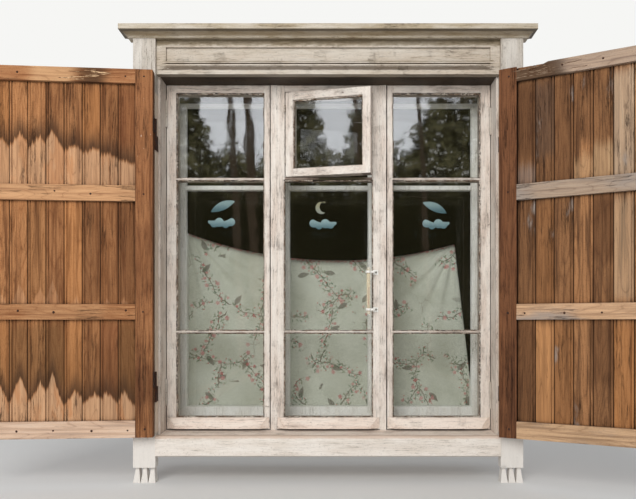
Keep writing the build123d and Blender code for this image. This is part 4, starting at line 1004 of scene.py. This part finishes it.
def printed_cotton(name):
    """Woven cotton printed with trailing sprigs: twigs, leaves, blossoms, buds and seed cones."""
    finish = Finish(name)
    flat = finish.add("UVMap", uv_map="UVMap").outputs[0]

    def trail(spot, scale=4.6, bend=0.11):
        """The distance from a place to the nearest line of a bent net, which the twigs follow."""
        wander = finish.add("TexNoise", {"Vector": spot, "Scale": 5.5, "Detail": 3.5, "Roughness": 0.6})
        pulls = {0: wander.outputs["Color"], 1: (bend, bend, 0), 2: spot}
        pull = finish.add("VectorMath", pulls, operation="MULTIPLY_ADD")
        bent = {"Vector": pull.outputs[0], "Scale": scale}
        net = finish.add("TexVoronoi", bent, feature="DISTANCE_TO_EDGE", voronoi_dimensions="2D")
        return finish.value(net, "Distance") / scale

    def grown_over(spot):
        """1 where the sprigs grow and 0 on the bare ground between them."""
        return finish.range(finish.noise(spot, scale=5.5, detail=1.5), 0.425, 0.445)

    def motifs(scale, near, shape_of, beyond=0.0, scatter=0.85):
        """Motifs scattered in cells, kept only near a twig, each turned its own way."""
        spread = {"Vector": flat, "Scale": scale, "Randomness": scatter}
        cells = finish.add("TexVoronoi", spread, feature="F1", voronoi_dimensions="2D")
        middle = cells.outputs["Position"]
        turn, size, chance = finish.place(cells.outputs["Color"])
        away = finish.add("VectorMath", {0: flat, 1: middle}, operation="SUBTRACT").outputs[0]
        turns = {"Vector": away, "Angle": turn * math.tau}
        x, y, _ = finish.place(finish.add("VectorRotate", turns, rotation_type="Z_AXIS").outputs[0])
        kept = finish.range(trail(middle), near, near * 0.92) * finish.range(chance, beyond - 0.01, beyond)
        return shape_of(x, y, size) * kept * grown_over(middle), chance

    def leaf(x, y, _):
        """A pointed oval, 17 mm long."""
        long = x / 0.0085
        return finish.range((1.0 - long * long) * 0.0034 - abs(y), 0.0, 0.0005)

    def blossom(x, y, size):
        """Five round petals, 14 to 24 mm across."""
        petal = abs(finish.math("COSINE", finish.math("ARCTAN2", y, x) * 2.5))
        reach = (petal * 0.0046 + 0.0048) * (size * 0.5 + 0.75)
        return finish.range(reach - finish.math("SQRT", x * x + y * y), 0.0, 0.0008)

    def bud(x, y, _):
        """A small round bud, 6 mm across."""
        return finish.range(0.0032 - finish.math("SQRT", x * x + y * y), 0.0, 0.0006)

    def cone(x, y, _):
        """A plump seed cone, 56 mm long, its scales in rows."""
        long = x / 0.028
        belly = (1.0 - long * long) * (long * 0.0042 + 0.011)
        scales = finish.math("SINE", x * 1050) * finish.math("SINE", y * 950)
        return finish.range(belly - abs(y), 0.0, 0.0008) * finish.range(scales, -0.6, 0.5, 1.0, 0.5)

    field = trail(flat)
    twig = finish.range(field, 0.0024, 0.0014) * grown_over(flat)
    shoot = finish.range(trail(flat, 13.0, 0.05), 0.0015, 0.0008) * finish.range(field, 0.026, 0.02)
    shoot *= finish.range(finish.noise(flat, scale=16, detail=1), 0.48, 0.52)
    leaves, leaf_chance = motifs(36, 0.024, leaf, 0.25)
    small_leaves, _ = motifs(60, 0.026, leaf, 0.2)
    flowers, flower_chance = motifs(26, 0.030, blossom, 0.3)
    buds, _ = motifs(44, 0.032, bud, 0.4)
    cones, _ = motifs(7, 0.075, cone, 0.12, 0.45)
    weave = finish.noise(flat, scale=520, detail=3)
    slub = finish.noise(finish.scaled(1, 9, 1, source=flat), scale=60, detail=4)
    nap = finish.noise(flat, scale=170, detail=3, rough=0.7)
    stain = finish.noise(flat, scale=4.5, detail=5)
    ink = finish.noise(flat, scale=300, detail=2)
    across, up, _ = finish.place(flat)
    hem = finish.range(above_sag(finish, across, up), -0.014, -0.010)
    hem *= finish.range(finish.noise(flat, scale=90, detail=1), 0.46, 0.54)
    green = finish.mix(finish.range(leaf_chance, 0.3, 0.7), LEAF_GREEN, shade(122, 134, 104))
    pink = finish.mix(finish.range(flower_chance, 0.3, 0.7), BLOSSOM, BLOSSOM_PALE)
    colour = finish.mix(finish.range(stain, 0.35, 0.7, 0.0, 0.5), CLOTH_GROUND, shade(180, 178, 158))
    for share, tone in (
        (finish.range(slub, 0.5, 0.8, 0.0, 0.4), CLOTH_SHADE),
        (finish.range(nap, 0.46, 0.64, 0.0, 0.3), CLOTH_SHADE),
        (shoot * 0.5, TWIG_BROWN), (twig * 0.8, TWIG_BROWN), (hem * 0.7, BLOSSOM), (cones * 0.9, CONE_BROWN),
        (small_leaves * 0.6, green), (leaves * 0.75, green), (buds * 0.75, BLOSSOM), (flowers * 0.7, pink),
        (finish.range(ink, 0.55, 0.7, 0.0, 0.25), CLOTH_GROUND),
    ):
        colour = finish.mix(share, colour, tone)
    finish.surface(colour, 0.92, weave * 0.2 + slub, depth=0.0003, Sheen_Weight=0.15, Specular_IOR_Level=0.15)
    return finish


hung_cloth.data.materials.append(printed_cotton("printed_cotton").material)
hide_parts("cloth")
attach(hung_cloth, "window_frame")


# Thermometer on the centre light's stile. A clear tube over a cream scale, with a red spirit
# thread, held off the sash by two white plastic brackets.

TUBE = (0.1635, 0.050)
SCALE_W = 0.0125
SCALE_T = 0.0009
SCALE_Z = (0.556, 0.726)
DEGREE = 0.0021
SPIRIT_W = 0.0018
SPIRIT_Z = (0.560, 0.655)
SPIRIT_FORWARD = 0.0016


def ticked_scale():
    """Cream card with fine degree marks, longer at each ten."""
    finish = Finish("thermometer_scale")
    x, _, z = finish.place()
    out = abs(x - TUBE[0])
    one, ten = finish.math("FRACT", z / DEGREE), finish.math("FRACT", z / (DEGREE * 10))
    short = finish.range(one, 0.26, 0.24) * finish.range(out, 0.0042, 0.0041)
    long = finish.range(ten, 0.05, 0.045) * finish.range(out, 0.0058, 0.0057)
    mark = finish.math("MAXIMUM", short, long) * finish.range(out, 0.0014, 0.0016)
    card = finish.mix(finish.noise(finish.coords, scale=60), shade(236, 222, 186), shade(218, 198, 156))
    tooth = finish.noise(finish.coords, scale=300)
    finish.surface(finish.mix(mark, card, shade(46, 40, 36)), 0.5, tooth, depth=0.0001)
    return finish


def red_spirit():
    """Dyed spirit in its thread."""
    finish = Finish("thermometer_spirit")
    depth = finish.noise(finish.coords, scale=90)
    finish.surface(finish.mix(depth, shade(170, 40, 36), shade(140, 26, 26)), 0.25)
    return finish


def tube_piece(name, shape, height, finish, forward=0.0):
    """Stands a shape in the tube, at a height and as far forward of its middle as given."""
    bmesh.ops.translate(shape, verts=shape.verts, vec=(TUBE[0], TUBE[1] - forward, sum(height) / 2))
    piece = shaped(name, shape)
    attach(piece, "window_frame")
    piece.data.materials.append(finish.material)
    return piece


shape = bmesh.new()
bmesh.ops.create_cube(shape, size=1)
bmesh.ops.scale(shape, vec=(SCALE_W, SCALE_T, SCALE_Z[1] - SCALE_Z[0]), verts=shape.verts)
bmesh.ops.bevel(shape, geom=shape.edges, offset=SCALE_T * 0.3, segments=2, affect="EDGES")
scale_card = tube_piece("thermometer_scale", shape, SCALE_Z, ticked_scale())
shape = bmesh.new()
bmesh.ops.create_cone(
    shape, cap_ends=True, segments=12, radius1=SPIRIT_W / 2, radius2=SPIRIT_W / 2,
    depth=SPIRIT_Z[1] - SPIRIT_Z[0],
)
tube_piece("thermometer_spirit", shape, SPIRIT_Z, red_spirit(), SPIRIT_FORWARD)

tube_clear = Finish("thermometer_tube")
dusty = tube_clear.range(tube_clear.noise(tube_clear.coords, scale=70, detail=6), 0.3, 0.7, 0.22, 0.42)
dust_tone = tube_clear.mix(dusty, shade(244, 238, 220), shade(226, 208, 170))
tube_skin = tube_clear.add("BsdfPrincipled", {"Base Color": dust_tone, "Roughness": 0.12}).outputs[0]
tube_open = tube_clear.add("BsdfTransparent").outputs[0]
tube_clear.output(tube_clear.add("MixShader", {0: dusty, 1: tube_open, 2: tube_skin}))
tube_clear.coat("thermometer_tube")

bracket_white = Finish("thermometer_bracket")
scuffs = bracket_white.noise(bracket_white.coords, scale=240, detail=5)
scuffed = bracket_white.range(scuffs, 0.5, 0.7)
bracket_tone = bracket_white.mix(scuffed, shade(240, 238, 232), shade(196, 186, 170))
bracket_white.surface(bracket_tone, 0.45, scuffs, depth=0.0002)
bracket_white.coat("thermometer_brackets")

steel = Finish("bright_steel")
specks = steel.noise(steel.coords, scale=900, detail=4)
steel_tone = steel.mix(steel.range(specks, 0.5, 0.65), shade(168, 166, 160), shade(110, 78, 54))
steel.surface(steel_tone, steel.range(specks, 0.4, 0.7, 0.3, 0.75), specks, depth=0.0002, Metallic=0.9)
steel.coat("thermometer_screws", "cloth_nails")


# Studio: a pale floor and background, soft daylight from above and in front, and the camera square
# on. A glowing card in front, seen only in reflections and through glass, has a painted treeline
# under a pale sky: painted reflections for the panes.

FLOOR_SIZE = 60
CARD_HALF = 9
CARD_FRONT = -6
CARD_NEAR = -0.5
CARD_TOP = 5
CARD_GAP = 0.01
CARD_SKY = shade(244, 247, 252)
CARD_GLOW = 2.2
TRUNKS = ((-2.32, 0.040), (-1.40, 0.050), (-1.16, 0.065), (1.22, 0.035))
SPRUCES = ((-4.3, -3.05, 1.1), (-2.3, -2.0, 0.85))

ground = cad_box[0][2]
bpy.ops.mesh.primitive_plane_add(size=FLOOR_SIZE, location=(0, 0, ground))
floor = bpy.context.active_object
floor.name = "studio_floor"
floor_finish = Finish("studio_floor")
floor_finish.surface(shade(232, 231, 228), 0.9)
floor.data.materials.append(floor_finish.material)

world = bpy.data.worlds.new("studio_world")
bpy.context.scene.world = world
world.use_nodes = True
sky = Wiring(world.node_tree)
seen = sky.tree.nodes["Background"]
seen.inputs[0].default_value = shade(246, 246, 244)
lit = sky.add("ShaderNodeBackground", {0: shade(246, 248, 252), 1: 0.52})
rays = sky.add("ShaderNodeLightPath").outputs
either = sky.add("ShaderNodeMath", {0: rays["Is Camera Ray"], 1: rays["Is Glossy Ray"]}, operation="ADD")
third = {0: either.outputs[0], 1: rays["Is Transmission Ray"]}
all_three = sky.add("ShaderNodeMath", third, operation="ADD", use_clamp=True)
chosen = sky.add("ShaderNodeMixShader", {0: all_three.outputs[0], 1: lit.outputs[0], 2: seen.outputs[0]})
sky.put(sky.tree.nodes["World Output"].inputs[0], chosen.outputs[0])

lamp = bpy.data.lights.new("front_window", "AREA")
lamp.energy = 205
lamp.size = 3.5
lamp_object = standing("front_window", lamp)
lamp_object.location = (-1.2, -4.9, 2.6)
lamp_object.rotation_euler = (Vector((0, 0, 0.8)) - lamp_object.location).to_track_quat("-Z", "Y").to_euler()
lamp_object.visible_glossy = lamp_object.visible_transmission = False


def treeline(finish):
    """Dark trees with ragged tops and gaps between their leaves, before a bright overcast sky."""
    x, _, z = finish.place()
    crowns = finish.noise(finish.scaled(1.5, 0, 0.25, shift=(0.4, 0, 0)), scale=1.2, detail=6, rough=0.55)
    top = crowns * 1.2 + finish.range(x, 0.9, 1.5, 2.35, 3.2)
    for left, right, rise in SPRUCES:
        top += finish.range(x, left - 0.3, left) * finish.range(x, right + 0.35, right) * rise
    leaves = finish.noise(finish.coords, scale=4.5, detail=10, rough=0.8)
    below = top - z + (leaves - 0.5) * 3.0
    gaps = finish.add("TexVoronoi", {"Vector": finish.coords, "Scale": 21}, feature="F1")
    glint = finish.range(finish.place(gaps.outputs["Color"])[0], 0.72, 0.74)
    glint *= finish.range(gaps.outputs["Distance"], 0.45, 0.3) * finish.range(z, 2.2, 2.6)
    sunlit = finish.range(leaves, 0.44, 0.62) * finish.range(z, 2.0, 2.8)
    tone = finish.mix(sunlit, shade(30, 30, 20), shade(134, 130, 94))
    tone = finish.mix(glint * 0.9, tone, shade(246, 246, 244))
    stand = finish.math("MAXIMUM", finish.range(below, -0.06, 0.08), finish.range(z, 2.6, 2.35))
    leaning = x + (z - 3) * 0.045
    for centre, half in TRUNKS:
        trunk = finish.range(abs(leaning - centre), half, half - 0.012)
        tone = finish.mix(trunk, tone, shade(92, 78, 66))
        stand = finish.math("MAXIMUM", stand, trunk)
    open_sky = finish.range(z, 5, 4) * finish.range(abs(x), 9, 7) * finish.range(stand, 0.6, 0.0)
    strength = finish.range(open_sky, 0.0, 1.0, 1.0, CARD_GLOW)
    finish.output(finish.add("Emission", {"Color": finish.mix(stand, CARD_SKY, tone), "Strength": strength}))


low = ground + CARD_GAP
card_corners = [
    (-CARD_HALF, CARD_FRONT, low), (CARD_HALF, CARD_FRONT, low), (CARD_HALF, CARD_FRONT, CARD_TOP),
    (-CARD_HALF, CARD_FRONT, CARD_TOP), (CARD_HALF, CARD_NEAR, low), (-CARD_HALF, CARD_NEAR, low),
]
card = standing("treeline_card", mesh_of("treeline_card", card_corners, faces=[(0, 1, 2, 3), (5, 4, 1, 0)]))
trees = Finish("treeline_card")
treeline(trees)
card.data.materials.append(trees.material)
card.visible_camera = card.visible_diffuse = card.visible_shadow = False

camera = bpy.data.cameras.new("camera")
camera.lens = 35.38
camera.sensor_width = 36
camera.shift_x = -0.0267
camera.shift_y = 0.1187
camera_object = standing("camera", camera)
camera_object.location = (0.027, -2.5, 0.5)
camera_object.rotation_euler = (math.radians(90), 0, 0)
bpy.context.scene.camera = camera_object
bpy.context.scene.view_settings.view_transform = "Standard"
